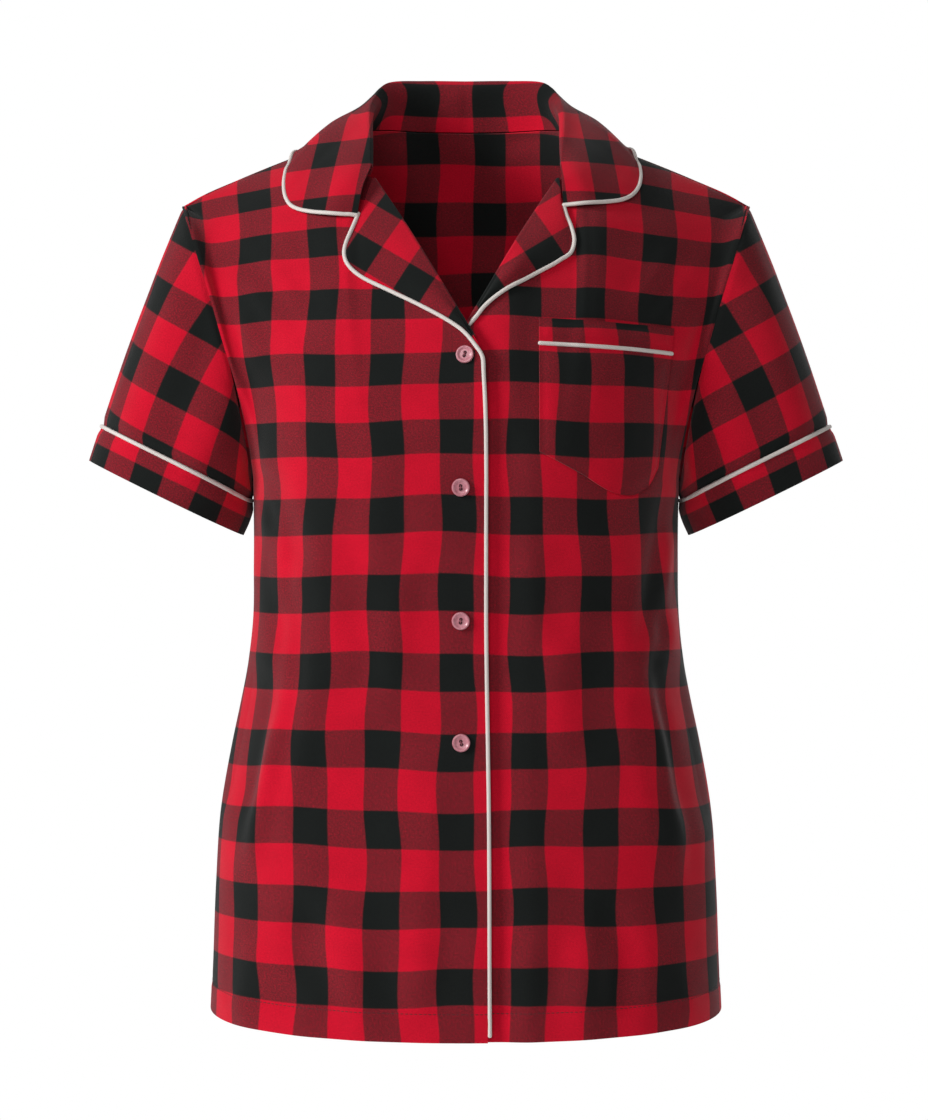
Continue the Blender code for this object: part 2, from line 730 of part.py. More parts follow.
class Cloud:
    """Close-set points of outer surfaces with their normals, to lay other pieces on."""

    def __init__(self, grids):
        self.points = np.concatenate([points.reshape(-1, 3) for points, _ in grids])
        self.normals = np.concatenate([normals.reshape(-1, 3) for _, normals in grids])

    def lay(self, x, z, lift):
        """Points in front view, set on the nearest surface's tangent plane and lifted off it."""
        flat = np.stack([np.ravel(x), np.ravel(z)], axis=1)
        front = self.normals[:, 1] < FACING_FRONT
        points, normals = self.points[front], self.normals[front]
        gap = ((flat[:, None] - points[None][:, :, [0, 2]]) ** 2).sum(axis=2)
        near = gap.argmin(axis=1)
        base, normal = points[near], normals[near]
        lean = normal[:, 0] * (flat[:, 0] - base[:, 0]) + normal[:, 2] * (flat[:, 1] - base[:, 2])
        y = base[:, 1] - lean / normal[:, 1]
        placed = np.stack([flat[:, 0], y, flat[:, 1]], axis=1)
        placed = placed + normal * np.ravel(lift * np.ones(np.shape(x)))[:, None]
        return placed.reshape(np.shape(x) + (3,)), normal.reshape(np.shape(x) + (3,))

    def clear(self, points, lift):
        """The points, moved out where they lie less than the lift above the surface.

        Over the shoulders they move upwards, so that they don't part along the ridge of the seam.
        """
        flat = points.reshape(-1, 3).copy()
        lift = np.ravel(lift * np.ones(points.shape[:-1]))
        for _ in range(CLEAR_PASSES):
            gap = ((flat[:, None] - self.points[None]) ** 2).sum(axis=2)
            near = gap.argmin(axis=1)
            normal = self.normals[near]
            height = np.sum((flat - self.points[near]) * normal, axis=1)
            push = normal.copy()
            push[:, 1] *= 1 - np.clip(normal[:, 2], 0, 1) ** 2
            push /= np.sum(push * normal, axis=1, keepdims=True)
            flat += push * np.clip(lift - height, 0, CLEAR_MOST)[:, None]
        return flat.reshape(points.shape)


def build_torso_and_sleeves():
    """The fronts, the back, the sleeves and cuffs, with mitred seams.

    Returns the clouds to lay other pieces on, and the path of the piping along each front's edge.
    """
    station_back, full, back_normals = back_panel()
    middle = len(station_back) - 1
    half_normals = back_normals[:, middle:]
    back_offset = half_normals.copy()
    clouds = {}
    front_edges = {}

    for hand, word in ((-1, "right"), (1, "left")):
        station, front, normals = front_panel(hand)
        sleeve, groove, cuff = sleeve_grids(station)
        sleeve = sleeve + np.array([SEAM_GAP, 0, 0])
        cuff = cuff + np.array([SEAM_GAP, 0, 0])
        groove = groove + np.array([SEAM_GAP, 0, 0])
        sleeve_normals, cuff_normals = ring_normals(sleeve), ring_normals(cuff)
        offset, sleeve_offset = normals.copy(), sleeve_normals.copy()
        arm, arm_back = station >= 3, station_back >= 3
        count = int(arm.sum())
        around_back = np.concatenate([[0], -np.arange(1, count)])
        front_arm, back_arm = normals[-1, arm], half_normals[-1, arm_back]
        sleeve_front, sleeve_back = sleeve_normals[0, :count], sleeve_normals[0, around_back]
        offset[-1, arm] = seam_offset(front_arm, sleeve_front)
        back_offset[-1, arm_back] = seam_offset(back_arm, sleeve_back)
        sleeve_offset[0, :count] = seam_offset(sleeve_front, front_arm)
        sleeve_offset[0, around_back[1:-1]] = seam_offset(sleeve_back, back_arm)[1:-1]
        shoulder, shoulder_back = (station >= 2) & (station < 3), (station_back >= 2) & (station_back < 3)
        front_top, back_top = normals[-1, shoulder], half_normals[-1, shoulder_back]
        offset[-1, shoulder] = seam_offset(front_top, back_top)
        back_offset[-1, shoulder_back] = seam_offset(back_top, front_top)
        tip = int(np.argmax(arm))
        tip_back = int(np.argmax(arm_back))
        at_tip = seam_offset(front_arm[0], back_arm[0], sleeve_front[0])
        offset[-1, tip] = at_tip
        back_offset[-1, tip_back] = at_tip
        sleeve_offset[0, 0] = at_tip
        offset[:, -1] = seam_offset(normals[:, -1], half_normals[:, -1])
        back_offset[:, -1] = seam_offset(half_normals[:, -1], normals[:, -1])

        side = np.array([hand, 1.0, 1.0])
        outer, inner = front.copy(), front - WALL * offset
        pull_edge(outer, inner, normals, row=-1)
        pull_edge(outer, inner, normals, column=-1)
        wall(f"front_{word}", outer * side, inner * side)
        clouds[word] = Cloud([(refined(front * side, CLOUD_STEPS), unit(refined(normals * side, CLOUD_STEPS)))])
        beyond = -inward_of_edge(front[:, 0], front[:, 1], normals[:, 0])
        edge = front[:, 0] - WALL / 2 * normals[:, 0] + (PIPING_RADIUS + EDGE_GAP) * beyond
        front_edges[word] = edge * side

        outer, inner = sleeve.copy(), sleeve - WALL * sleeve_offset
        pull_edge(outer, inner, sleeve_normals, row=0, closed=True)
        wall(f"sleeve_{word}", outer * side, inner * side, closed=True)
        wall(f"cuff_{word}", cuff * side, (cuff - WALL * cuff_normals) * side, closed=True)
        share = np.arange(groove.shape[1]) / groove.shape[1]
        least, more = CUFF_PIPING_INSET
        inset = least + more * np.sin(np.pi * share) ** CUFF_INSET_POWER
        path = groove[0] - inset[:, None] * (sleeve_normals[-1] + cuff_normals[0]) / 2
        piping(f"cuff_piping_{word}", path * side, ring=True)

    outer = full.copy()
    offset = np.concatenate([mirrored(back_offset)[:, :0:-1], back_offset], axis=1)
    inner = full - WALL * offset
    pull_edge(outer, inner, back_normals, row=-1)
    pull_edge(outer, inner, back_normals, column=-1)
    pull_edge(outer, inner, back_normals, column=0)
    wall("back", outer, inner)
    clouds["back"] = Cloud([(refined(full, CLOUD_STEPS), unit(refined(back_normals, CLOUD_STEPS)))])
    return clouds, front_edges


def collar_face(edge_table):
    """The visible face of the collar's left half: rows from the neck seam, over the roll, to the edge."""
    station = np.linspace(COLLAR_SECTIONS[0, 0], COLLAR_SECTIONS[-1, 0], COLLAR_ALONG)
    table = smooth(station, COLLAR_SECTIONS[:, 0], COLLAR_SECTIONS[:, 1:])
    neck, roll = table[:, 0:3], table[:, 3:6]
    edge = smooth(station, edge_table[:, 0], edge_table[:, 1:])
    away = unit((edge - neck) * np.array([1.0, 1.0, 0.0]))
    up = np.array([0.0, 0.0, 1.0])
    inside = roll - COLLAR_ROLL_SIDE * (away + up)
    outside = roll + COLLAR_ROLL_SIDE * (away - up)
    middle = (outside + edge) / 2 + COLLAR_FALL_BULGE * unit(away + up)
    foot = neck + COLLAR_FOOT_GAP * unit(inside - neck)
    rows_to_top = COLLAR_ACROSS // 2
    top_share = COLLAR_TOP_SHARE
    share = np.concatenate([np.linspace(0, top_share, rows_to_top, endpoint=False),
                            np.linspace(top_share, 1, COLLAR_ACROSS - rows_to_top)])
    columns = []
    for column in np.stack([foot, inside, roll, outside, middle, edge], axis=1):
        knots = path_knots(column)
        top = knots[2]
        rising = share / top_share * top
        falling = top + (share - top_share) / (1 - top_share) * (1 - top)
        columns.append(smooth(np.where(share < top_share, rising, falling), knots, column))
    return np.stack(columns, axis=1)


def shortened(path, at_start, at_end):
    """The path without these lengths at its two ends."""
    knots = path_knots(path)
    total = np.linalg.norm(np.diff(path, axis=0), axis=1).sum()
    kept = np.clip(knots, at_start / total, 1 - at_end / total)
    return np.stack([np.interp(kept, knots, path[:, axis]) for axis in range(3)], axis=1)


def over_shoulder(points):
    """The further lift that carries the collar over the ridge of the shoulder seam."""
    return COLLAR_RIDGE_LIFT * np.exp(-(((points[..., 1] - SHOULDER_POINT[1]) / COLLAR_RIDGE_WIDTH) ** 2))


def build_collar(clouds):
    """The collar, folded over at its roll and lying on the shoulders, with piping round its edge."""
    right, left = collar_face(COLLAR_EDGE_RIGHT), collar_face(COLLAR_EDGE_LEFT)
    full = np.concatenate([mirrored(right)[:, :-1], left[:, ::-1]], axis=1)
    body = clouds["all"]
    fall = COLLAR_ACROSS // 2 + 1
    full[fall:] = body.clear(full[fall:], WALL + COLLAR_LIFT + over_shoulder(full[fall:]))
    normals = grid_normals(full)
    normals *= np.sign(normals[-1, full.shape[1] // 2, 1])
    outer, inner = full.copy(), full - WALL * normals
    pull_edge(outer, inner, normals, column=0, gap=COLLAR_END_GAP)
    pull_edge(outer, inner, normals, column=-1, gap=COLLAR_END_GAP)
    wall("collar", outer, inner)
    beyond = -inward_of_edge(full[-1], full[-2], normals[-1])
    path = full[-1] + (PIPING_RADIUS + EDGE_GAP) * beyond - WALL / 2 * normals[-1]
    path = body.clear(path, PIPING_RADIUS + COLLAR_LIFT / 2 + over_shoulder(path))
    piping("collar_piping", shortened(path, COLLAR_PIPING_TRIM, COLLAR_PIPING_TRIM))


def lapel_face(cloud, hand, edge_table, foot_share):
    """The visible face of a lapel: rows from the roll's foot to the gorge, columns out to its edge."""
    t = np.linspace(0, 1, LAPEL_ALONG)
    p = np.linspace(0, 1, LAPEL_ACROSS)
    roll = along(ROLL_LINE, foot_share + (LAPEL_TOP_SHARE - foot_share) * t)[:, [0, 2]]
    edge = along(edge_table, t)
    flat = roll[:, None] * (1 - p)[None, :, None] + edge[:, None] * p[None, :, None]
    start, span = LAPEL_SWELL
    swell = np.sin(np.pi * p)[None, :] * np.sin(np.pi * (start + span * t))[:, None]
    lift = WALL + LAY_GAP + LAPEL_BULGE * swell
    points, normals = cloud.lay(hand * flat[..., 0], flat[..., 1], lift)
    return points, normals


def build_lapels(clouds, front_edges):
    """Both lapels, and the piping: one runs round the left lapel, one round the right and down the front."""
    shapes = {
        "right": (-1, LAPEL_EDGE_RIGHT, LAPEL_RIGHT_FOOT_SHARE),
        "left": (1, LAPEL_EDGE_LEFT, LAPEL_LEFT_FOOT_SHARE),
    }
    for word, shape in shapes.items():
        cloud = clouds[word]
        face, normals = lapel_face(cloud, *shape)
        wall(f"lapel_{word}", face, face - WALL * normals)
        beyond = -inward_of_edge(face[:, -1], face[:, -2], normals[:, -1])
        path = face[:, -1] + (PIPING_RADIUS + EDGE_GAP) * beyond
        path = cloud.clear(path, PIPING_RADIUS + LAY_GAP)
        if word == "right":
            down = front_edges[word][::-1]
            down = down[down[:, 2] < path[0, 2] - FRONT_PIPING_JOIN]
            path = np.concatenate([path[::-1], [FRONT_PIPING_TURN], down])
            piping("front_piping", shortened(path, LAPEL_PIPING_TRIM, 0.0))
        else:
            piping("lapel_piping_left", shortened(path, 0.0, LAPEL_PIPING_TRIM))


def build_pocket(clouds):
    """The patch pocket with its top band, and the piping between them."""
    cloud = clouds["left"]
    a = np.linspace(0, 1, POCKET_COLUMNS + 1)
    foot = along(POCKET_FOOT, a)
    top = np.array(POCKET_TOP[0]) * (1 - a)[:, None] + np.array(POCKET_TOP[1]) * a[:, None]
    height = (top - foot)[:, 1]
    seam = 1 - POCKET_BAND / height
    groove = (PIPING_RADIUS + SEAM_GAP) / height

    def strip(low, high, rows):
        b = low + np.linspace(0, 1, rows)[:, None] * (high - low)
        flat = foot * (1 - b[..., None]) + top * b[..., None]
        outer, normals = cloud.lay(flat[..., 0], flat[..., 1], WALL + POCKET_LIFT)
        return outer, outer - WALL * normals

    wall("pocket", *strip(np.zeros_like(seam), seam - groove, POCKET_ROWS))
    wall("pocket_band", *strip(seam + groove, np.ones_like(seam), POCKET_BAND_ROWS))
    line = foot * (1 - seam)[:, None] + top * seam[:, None]
    path, _ = cloud.lay(line[:, 0], line[:, 1], PIPING_RADIUS + POCKET_LIFT)
    piping("pocket_piping", path)


def build_buttons(clouds):
    """Four turned buttons, each square to the cloth that it sits on."""
    angle = np.linspace(0, 2 * np.pi, BUTTON_SIDES, endpoint=False)
    centres, normals = clouds["right"].lay(BUTTON_PLACES[:, 0], BUTTON_PLACES[:, 1], BUTTON_SEAT)
    for number, (centre, normal) in enumerate(zip(centres, normals), start=1):
        side = unit(np.cross(normal, np.array([0.0, 0.0, 1.0])))
        up = np.cross(side, normal)
        around = side * np.cos(angle)[:, None] + up * np.sin(angle)[:, None]
        rings = [
            centre + BUTTON_RADIUS * (radius * around + height * normal)
            for radius, height in BUTTON_PROFILE
        ]
        vertices = np.concatenate(rings)
        rows = len(rings)
        faces = [
            (i * BUTTON_SIDES + j, i * BUTTON_SIDES + (j + 1) % BUTTON_SIDES,
             (i + 1) * BUTTON_SIDES + (j + 1) % BUTTON_SIDES, (i + 1) * BUTTON_SIDES + j)
            for i in range(rows - 1)
            for j in range(BUTTON_SIDES)
        ]
        last = (rows - 1) * BUTTON_SIDES
        faces += [tuple(range(BUTTON_SIDES))[::-1], tuple(range(last, last + BUTTON_SIDES))]
        mesh_object(f"button_{number}", vertices, faces, BUTTON_PINK)


def main():
    """Builds the whole shirt."""
    clear_scene()
    clouds, front_edges = build_torso_and_sleeves()
    clouds["all"] = Cloud([(cloud.points, cloud.normals) for cloud in clouds.values()])
    build_collar(clouds)
    build_lapels(clouds, front_edges)
    build_pocket(clouds)
    build_buttons(clouds)


main()
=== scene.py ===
"""The look of the flannel shirt: finer surfaces on the same forms as its solids.

Every cloth piece is a thin shell on a grid of points, worked out from the garment's sections,
seam lines and folds. Each carries a UV map named check, in metres along the cloth's own warp and
weft, whose zero is the middle of a black square, so the check follows the grain of each piece.
"""
import bmesh
import bpy
import mathutils
import numpy as np
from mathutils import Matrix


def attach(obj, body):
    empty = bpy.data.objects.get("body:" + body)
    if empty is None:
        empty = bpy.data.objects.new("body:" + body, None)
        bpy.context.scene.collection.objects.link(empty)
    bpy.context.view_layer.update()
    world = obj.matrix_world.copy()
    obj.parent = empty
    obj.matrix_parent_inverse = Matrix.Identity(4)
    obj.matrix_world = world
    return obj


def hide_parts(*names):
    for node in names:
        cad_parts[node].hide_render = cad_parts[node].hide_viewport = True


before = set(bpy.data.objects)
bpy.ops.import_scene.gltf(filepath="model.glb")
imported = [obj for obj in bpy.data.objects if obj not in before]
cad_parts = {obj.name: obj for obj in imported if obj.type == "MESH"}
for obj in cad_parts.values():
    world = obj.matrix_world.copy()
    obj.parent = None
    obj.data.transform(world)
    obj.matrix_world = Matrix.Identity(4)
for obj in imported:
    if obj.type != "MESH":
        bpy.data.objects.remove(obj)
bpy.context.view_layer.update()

# The thickness of the cloth's solids, and the piping's radius, in metres
WALL = 0.0018
PIPING_RADIUS = 0.0015

# The armpit's height, and how much higher the hem is at the sides than in the middle
ARMPIT_Z = -0.272
HEM_SIDE_RISE = 0.010

# How deep the lower front is let in below the upper one, and between which x that ends; how much
# more near the roll, how that lessens with x, and between which heights it sets in
LAP_SINK = 0.0044
LAP_SINK_ENDS = (0.022, 0.048)
LAP_SINK_MORE = 0.0018
LAP_TILT = 0.25
LAP_SINK_RISE = (-0.270, -0.190)

# Level sections: the superellipse's exponent, the steps its length is measured in, and its size at
# each height
SECTION_POWER = 2.35
SECTION_STEPS = 400
SECTIONS = np.array([
    # height, half width, front depth, back depth
    (-0.690, 0.1905, 0.1265, 0.1195), (-0.628, 0.1877, 0.1245, 0.1185),
    (-0.568, 0.1855, 0.1220, 0.1170), (-0.509, 0.1814, 0.1190, 0.1140),
    (-0.464, 0.1736, 0.1160, 0.1090), (-0.434, 0.1673, 0.1145, 0.1045),
    (-0.405, 0.1617, 0.1140, 0.1000), (-0.375, 0.1582, 0.1145, 0.0970),
    (-0.330, 0.1575, 0.1180, 0.0985), (ARMPIT_Z, 0.1580, 0.1225, 0.1050),
])

# Corner points of the wearer's left half; the right half is its mirror image
ROLL_FOOT = (-0.0092, -0.1180, -0.1795)
GORGE = (0.0690, -0.0440, -0.0510)
NECK_POINT = (0.0790, 0.0080, -0.0095)
SHOULDER_POINT = (0.2110, 0.0120, -0.0640)
NAPE = (0.0000, 0.0690, -0.0020)

ROLL_LINE = np.array([
    # x, y, z
    ROLL_FOOT, (0.0010, -0.1128, -0.1640), (0.0235, -0.0980, -0.1262),
    (0.0465, -0.0735, -0.0872), GORGE,
])
FRONT_NECK = np.array([
    GORGE, (0.0755, -0.0250, -0.0285), NECK_POINT,
])
BACK_NECK = np.array([
    NAPE, (0.0300, 0.0660, -0.0018), (0.0590, 0.0500, -0.0025),
    (0.0745, 0.0300, -0.0055), NECK_POINT,
])
SHOULDER = np.array([
    NECK_POINT, (0.1200, 0.0110, -0.0240), (0.1700, 0.0120, -0.0440),
    (0.2000, 0.0120, -0.0575), SHOULDER_POINT,
])
ARMHOLE = np.array([
    # height, x, y of the front half, y of the back half
    (-0.0640, 0.2110, 0.0120, 0.0120), (-0.0770, 0.2065, -0.0120, 0.0340),
    (-0.1100, 0.1960, -0.0330, 0.0530), (-0.1550, 0.1820, -0.0450, 0.0620),
    (-0.2000, 0.1690, -0.0500, 0.0610), (-0.2400, 0.1610, -0.0400, 0.0470),
    (-0.2650, 0.1580, -0.0180, 0.0210), (ARMPIT_Z, 0.1580, 0.0000, 0.0000),
])

# Stations: 0 roll foot, 1 gorge or nape, 2 neck point, 3 shoulder point, 4 armpit.
# The share of the way from the middle to the side seam at which each station's column stands
FRONT_BASE = np.array([
    # station, share
    (0.0, -0.0560), (1.0, 0.2950), (2.0, 0.4550), (3.0, 0.6300), (3.3, 0.6900),
    (3.6, 0.7700), (3.8, 0.8450), (3.9, 0.9050), (4.0, 1.0000),
])
BACK_BASE = np.array([
    (1.0, 0.0000), (2.0, 0.3700), (3.0, 0.5800), (3.3, 0.6200), (3.6, 0.7000),
    (3.8, 0.7900), (3.9, 0.8750), (4.0, 1.0000),
])

# The direction in which a column arrives at the upper edge, at each station
FRONT_ARRIVAL = np.array([
    # station, x, y, z
    (0.0, 0.10, 0.22, 0.94), (0.4, -0.05, 0.35, 0.90), (1.0, -0.28, 0.58, 0.76),
    (1.5, -0.40, 0.75, 0.60), (2.0, -0.35, 0.92, 0.50), (2.5, 0.05, 0.92, 0.50),
    (3.0, 0.45, 0.66, 0.60), (3.15, 0.60, 0.35, 0.75), (3.4, 0.60, 0.12, 0.80),
    (3.6, 0.50, 0.02, 0.85), (3.8, 0.35, 0.00, 0.90), (4.0, 0.00, 0.00, 1.00),
])
BACK_ARRIVAL = np.array([
    (1.0, 0.00, -0.35, 0.94), (1.5, 0.00, -0.55, 0.80), (2.0, -0.15, -0.92, 0.52),
    (2.5, 0.15, -0.90, 0.50), (3.0, 0.45, -0.66, 0.60), (3.15, 0.60, -0.35, 0.75),
    (3.4, 0.60, -0.12, 0.80), (3.6, 0.50, -0.02, 0.85), (3.8, 0.35, 0.00, 0.90),
    (4.0, 0.00, 0.00, 1.00),
])

# The panels: their tables, the hem's height in the middle, and the columns from corner to corner;
# their rows, and how much closer those lie towards the upper edge
PANELS = {
    "front": {"base": FRONT_BASE, "arrival": FRONT_ARRIVAL, "neck": FRONT_NECK, "hem": -0.669,
              "counts": (30, 30, 36, 54)},
    "back": {"base": BACK_BASE, "arrival": BACK_ARRIVAL, "neck": BACK_NECK, "hem": -0.667,
             "counts": (0, 36, 36, 54)},
}
PANEL_ROWS = 139
TOP_CROWDING = 0.32

# Times this, a point lies on the other side of the body
MIRROR = np.array([-1.0, 1.0, 1.0])

# Sleeves: the cuff's middle and outer end, half its width front to back, and its height; how far
# the sleeve bows out at its folds and between them; and how far the piping is let in, and how much
# more at the underarm
CUFF_MIDDLE = (0.2235, 0.0040, -0.2835)
CUFF_OUTER = (0.2800, 0.0040, -0.2560)
CUFF_HALF_DEPTH = 0.0490
CUFF_HEIGHT = 0.0270
SLEEVE_BULGE = (0.0030, 0.0085)
CUFF_PIPING_INSET = (0.0002, 0.0012)

# How points are laid on cloth or moved clear of it: how near the cloth must lie to count, the
# reach of the bell that weighs it, the farthest push, the least share of a push that is square to
# the cloth, and the points taken at a time
LAY_NEAR, LAY_REACH = 0.02, 0.0040
CLEAR_NEAR, CLEAR_REACH, CLEAR_MOST, CLEAR_SQUARE = 0.03, 0.0060, 0.02, 0.3
BLEND_BLOCK = 250

# The collar, at stations from the gorge to the nape
COLLAR_SECTIONS = np.array([
    # station, neck seam x, y, z      roll x, y, z
    (0.0, 0.0698, -0.0452, -0.0494, 0.0690, -0.0485, -0.0420),
    (1.0, 0.0727, -0.0345, -0.0372, 0.0700, -0.0370, -0.0280),
    (2.0, 0.0750, -0.0215, -0.0240, 0.0712, -0.0230, -0.0145),
    (3.0, 0.0770, -0.0070, -0.0150, 0.0722, -0.0050, -0.0015),
    (4.0, 0.0780, 0.0090, -0.0085, 0.0722, 0.0130, 0.0105),
    (5.0, 0.0730, 0.0320, -0.0052, 0.0690, 0.0350, 0.0225),
    (6.0, 0.0580, 0.0505, -0.0022, 0.0585, 0.0500, 0.0340),
    (7.0, 0.0310, 0.0650, -0.0015, 0.0320, 0.0625, 0.0372),
    (8.0, 0.0000, 0.0685, -0.0015, 0.0000, 0.0660, 0.0375),
])
COLLAR_EDGE_RIGHT = np.array([
    # station, x, y, z (the wearer's right, mirrored)
    (0.0, 0.0785, -0.0690, -0.0793), (1.0, 0.0985, -0.0674, -0.0774),
    (1.7, 0.1136, -0.0571, -0.0749), (2.1, 0.1215, -0.0508, -0.0726),
    (2.5, 0.1275, -0.0454, -0.0690), (2.9, 0.1312, -0.0382, -0.0630),
    (3.3, 0.1330, -0.0307, -0.0550), (3.8, 0.1333, -0.0200, -0.0450),
    (4.3, 0.1310, -0.0072, -0.0340), (4.8, 0.1240, 0.0150, -0.0225),
    (5.4, 0.1130, 0.0350, -0.0290), (6.0, 0.0960, 0.0560, -0.0310),
    (7.0, 0.0530, 0.0790, -0.0320), (8.0, 0.0000, 0.0860, -0.0325),
])
COLLAR_EDGE_LEFT = np.array([
    # station, x, y, z
    (0.0, 0.0700, -0.0641, -0.0715), (1.0, 0.0885, -0.0654, -0.0696),
    (1.7, 0.1040, -0.0569, -0.0677), (2.1, 0.1130, -0.0509, -0.0657),
    (2.5, 0.1200, -0.0443, -0.0620), (2.9, 0.1247, -0.0366, -0.0565),
    (3.3, 0.1272, -0.0296, -0.0500), (3.8, 0.1282, -0.0185, -0.0410),
    (4.3, 0.1262, -0.0069, -0.0315), (4.8, 0.1195, 0.0150, -0.0205),
    (5.4, 0.1100, 0.0350, -0.0275), (6.0, 0.0950, 0.0560, -0.0305),
    (7.0, 0.0530, 0.0790, -0.0320), (8.0, 0.0000, 0.0860, -0.0325),
])

# The collar: the roll's half width, how far the fall swells, its lift off the body, how much more
# over the shoulder's ridge and over what width, and its rows and columns
COLLAR_ROLL_SIDE = 0.00324
COLLAR_FALL_BULGE = 0.0035
COLLAR_LIFT = 0.0018
COLLAR_RIDGE_LIFT = 0.0012
COLLAR_RIDGE_WIDTH = 0.0140
COLLAR_ROWS = 44
COLLAR_COLUMNS = 92

# The lapels' outer edges, from the roll's foot to the notch, in front view
LAPEL_EDGE_RIGHT = np.array([
    # x, z (the wearer's right, mirrored)
    (-0.0086, -0.1800), (-0.0022, -0.1700), (0.0103, -0.1608), (0.0315, -0.1487),
    (0.0597, -0.1345), (0.0790, -0.1238), (0.0855, -0.1165), (0.0866, -0.1095),
    (0.0820, -0.0960), (0.0765, -0.0812),
])
LAPEL_EDGE_LEFT = np.array([
    # x, z
    (0.0012, -0.1628), (0.0060, -0.1575), (0.0110, -0.1510), (0.0248, -0.1390),
    (0.0462, -0.1264), (0.0658, -0.1150), (0.0743, -0.1083), (0.0762, -0.1015),
    (0.0745, -0.0918), (0.0708, -0.0815), (0.0692, -0.0750),
])

# A lapel: its rows and columns, the steps of its turn round the edge, its gap over the front, how
# much that grows and by which share of its length, how far it swells and over which shares of a
# half wave, and its piping's gap
LAPEL_ROWS = 75
LAPEL_COLUMNS = 35
LAPEL_TURN_STEPS = 12
LAPEL_GAP = 0.0003
LAPEL_GROWTH = 0.0004
LAPEL_GROWN_AT = 0.10
LAPEL_BULGE = 0.0030
LAPEL_BULGE_SHARES = (0.05, 0.90)
LAPEL_PIPING_GAP = 0.0002

# The wearer's right (-1) and left (+1) lapel: its edge, and the share of the roll line where it
# starts; and the share where both end
LAPEL_EDGES = {-1: (LAPEL_EDGE_RIGHT, 0.050), 1: (LAPEL_EDGE_LEFT, 0.105)}
LAPEL_TOP_SHARE = 0.985

# The front's piping: how far below the lapel's it starts, the point between, over what length its
# corners are rounded, and how far it is pressed into the edge
FRONT_PIPING_JOIN = 0.0100
FRONT_PIPING_TURN = (0.0136, -0.1221, -0.1870)
FRONT_TURN_REACH = 0.0090
FRONT_PIPING_PRESSED = 0.0002

# The pocket on the left front, in front view
POCKET_FOOT = np.array([
    # x, z
    (0.0515, -0.2535), (0.0800, -0.2685), (0.1080, -0.2830),
    (0.1190, -0.2835), (0.1290, -0.2775), (0.1370, -0.2640),
])

# The pocket's top corners, its band's height, its columns, its gap over the front, and the groove
# for its piping, as a share of the piping's radius
POCKET_TOP = ((0.0515, -0.1585), (0.1500, -0.1625))
POCKET_BAND = 0.0185
POCKET_COLUMNS = 61
POCKET_GAP = 0.0004
POCKET_GROOVE = 0.8

# The pocket's pieces: rows, the width of the sewn edge, and how far the middle puffs out
POCKET_PIECES = {"pocket": (42, 0.0120, 0.0012), "pocket_band": (16, 0.0060, 0.0006)}

# The pocket's stitch line: its distance from the edge, its width and its depth
POCKET_STITCH = (0.0030, 0.0014, 0.0003)

# The part of the front that gives the pocket its check: the middle, x and z, and how far it goes
# each way; and the reach of the bell that weighs it
POCKET_NEAR = ((0.10, -0.22), (0.075, 0.09))
GRAIN_REACH = 0.0040

# Buttons down the wearer's right front, in front view
BUTTON_RADIUS = 0.0064
BUTTON_PLACES = np.array([
    # x, z
    (-0.0008, -0.1853), (-0.0038, -0.2790), (-0.0038, -0.3730), (-0.0035, -0.4590),
])

# The cloth in the scene is thinner than its solid: two layers this far apart, and farther in the
# cuffs and the collar
CLOTH = 0.0013
DOUBLE_CLOTH = CLOTH * 1.2

# How far a seam draws the cloth in, and over what width. The hem: its stitch line's height, the
# width of the step there, how far it stands out below, and how deep and wide the line is drawn in
GROOVE_DEPTH = 0.0013
GROOVE_WIDTH = 0.0034
HEM_STITCH = 0.0200
HEM_STEP = 0.0030
HEM_PROUD = 0.0004
STITCH_SINK = 0.0007
STITCH_WIDTH = 0.0016

# A stitch: its length, the step to the next, its radius, and how deep it is sunk; and its rings,
# as shares of its length and of its radius
STITCH_LENGTH, STITCH_PITCH, STITCH_RADIUS, STITCH_SUNK = 0.0024, 0.0033, 0.00033, 0.0001
STITCH_RINGS = np.array([(0.0, 0.35), (0.2, 1.0), (0.8, 1.0), (1.0, 0.35)])
STITCH_SIDES = 6

# The piping: the step between its rings, its sides, its domed end's length and radius as shares of
# its own radius, and the spacing of its twill lines
PIPING_STEP = 0.0011
PIPING_SIDES = 12
PIPING_DOME = (0.60, 0.55)
PIPING_TWILL = 0.0012

# The buffalo check, in metres: the repeat across and up, the black stripe's width in each, half
# the width over which a stripe's edge blends, and the spacing of the twill lines as drawn
CHECK_REPEAT = (0.0500, 0.0555)
CHECK_BLACK = (0.0240, 0.0262)
STRIPE_SOFTNESS = 0.0006
FLANNEL_TWILL = 0.0013

# Where the middle of a black square lies on a piece's grain, if not at zero: across, up
CHECK_AT = {
    "front_right": (-0.0062, 0.0290),
    "front_left": (0.0418, 0.0290),
    "back": (0.0172, 0.2637),
    "cuff_right": (-0.0777, -0.0245),
    "cuff_left": (0.0780, -0.0230),
    "pocket": (0.0258, 0.0290),
    "pocket_band": (0.0232, 0.1310),
}

EASED_UP_CHEST = (0.030, 0.135)
EASED_TO_SIDE = (0.110, -0.140)
EASED_ROUND = 0.008

# How wear draws the grain off true, across and up: waves of height, length by x, by z, and phase
WANDER = (
    ((0.0011, 0.31, 0.135, 0.0), (0.0007, -0.17, 0.071, 0.0)),
    ((0.0013, 0.190, -0.42, 0.8), (0.0006, 0.083, 0.30, 0.0)),
)

SLEEVE_CHECK = {
    # constant, f, d, f squared, f times d
    "across": (-0.450, 15.30, 1.6, -27.7, -68.0),
    "along": (-0.157, 3.66, 19.1, -5.5, -6.8),
}
SLEEVE_BACK_CHECK = 18.0
SLEEVE_CHECK_ROUND = 0.012

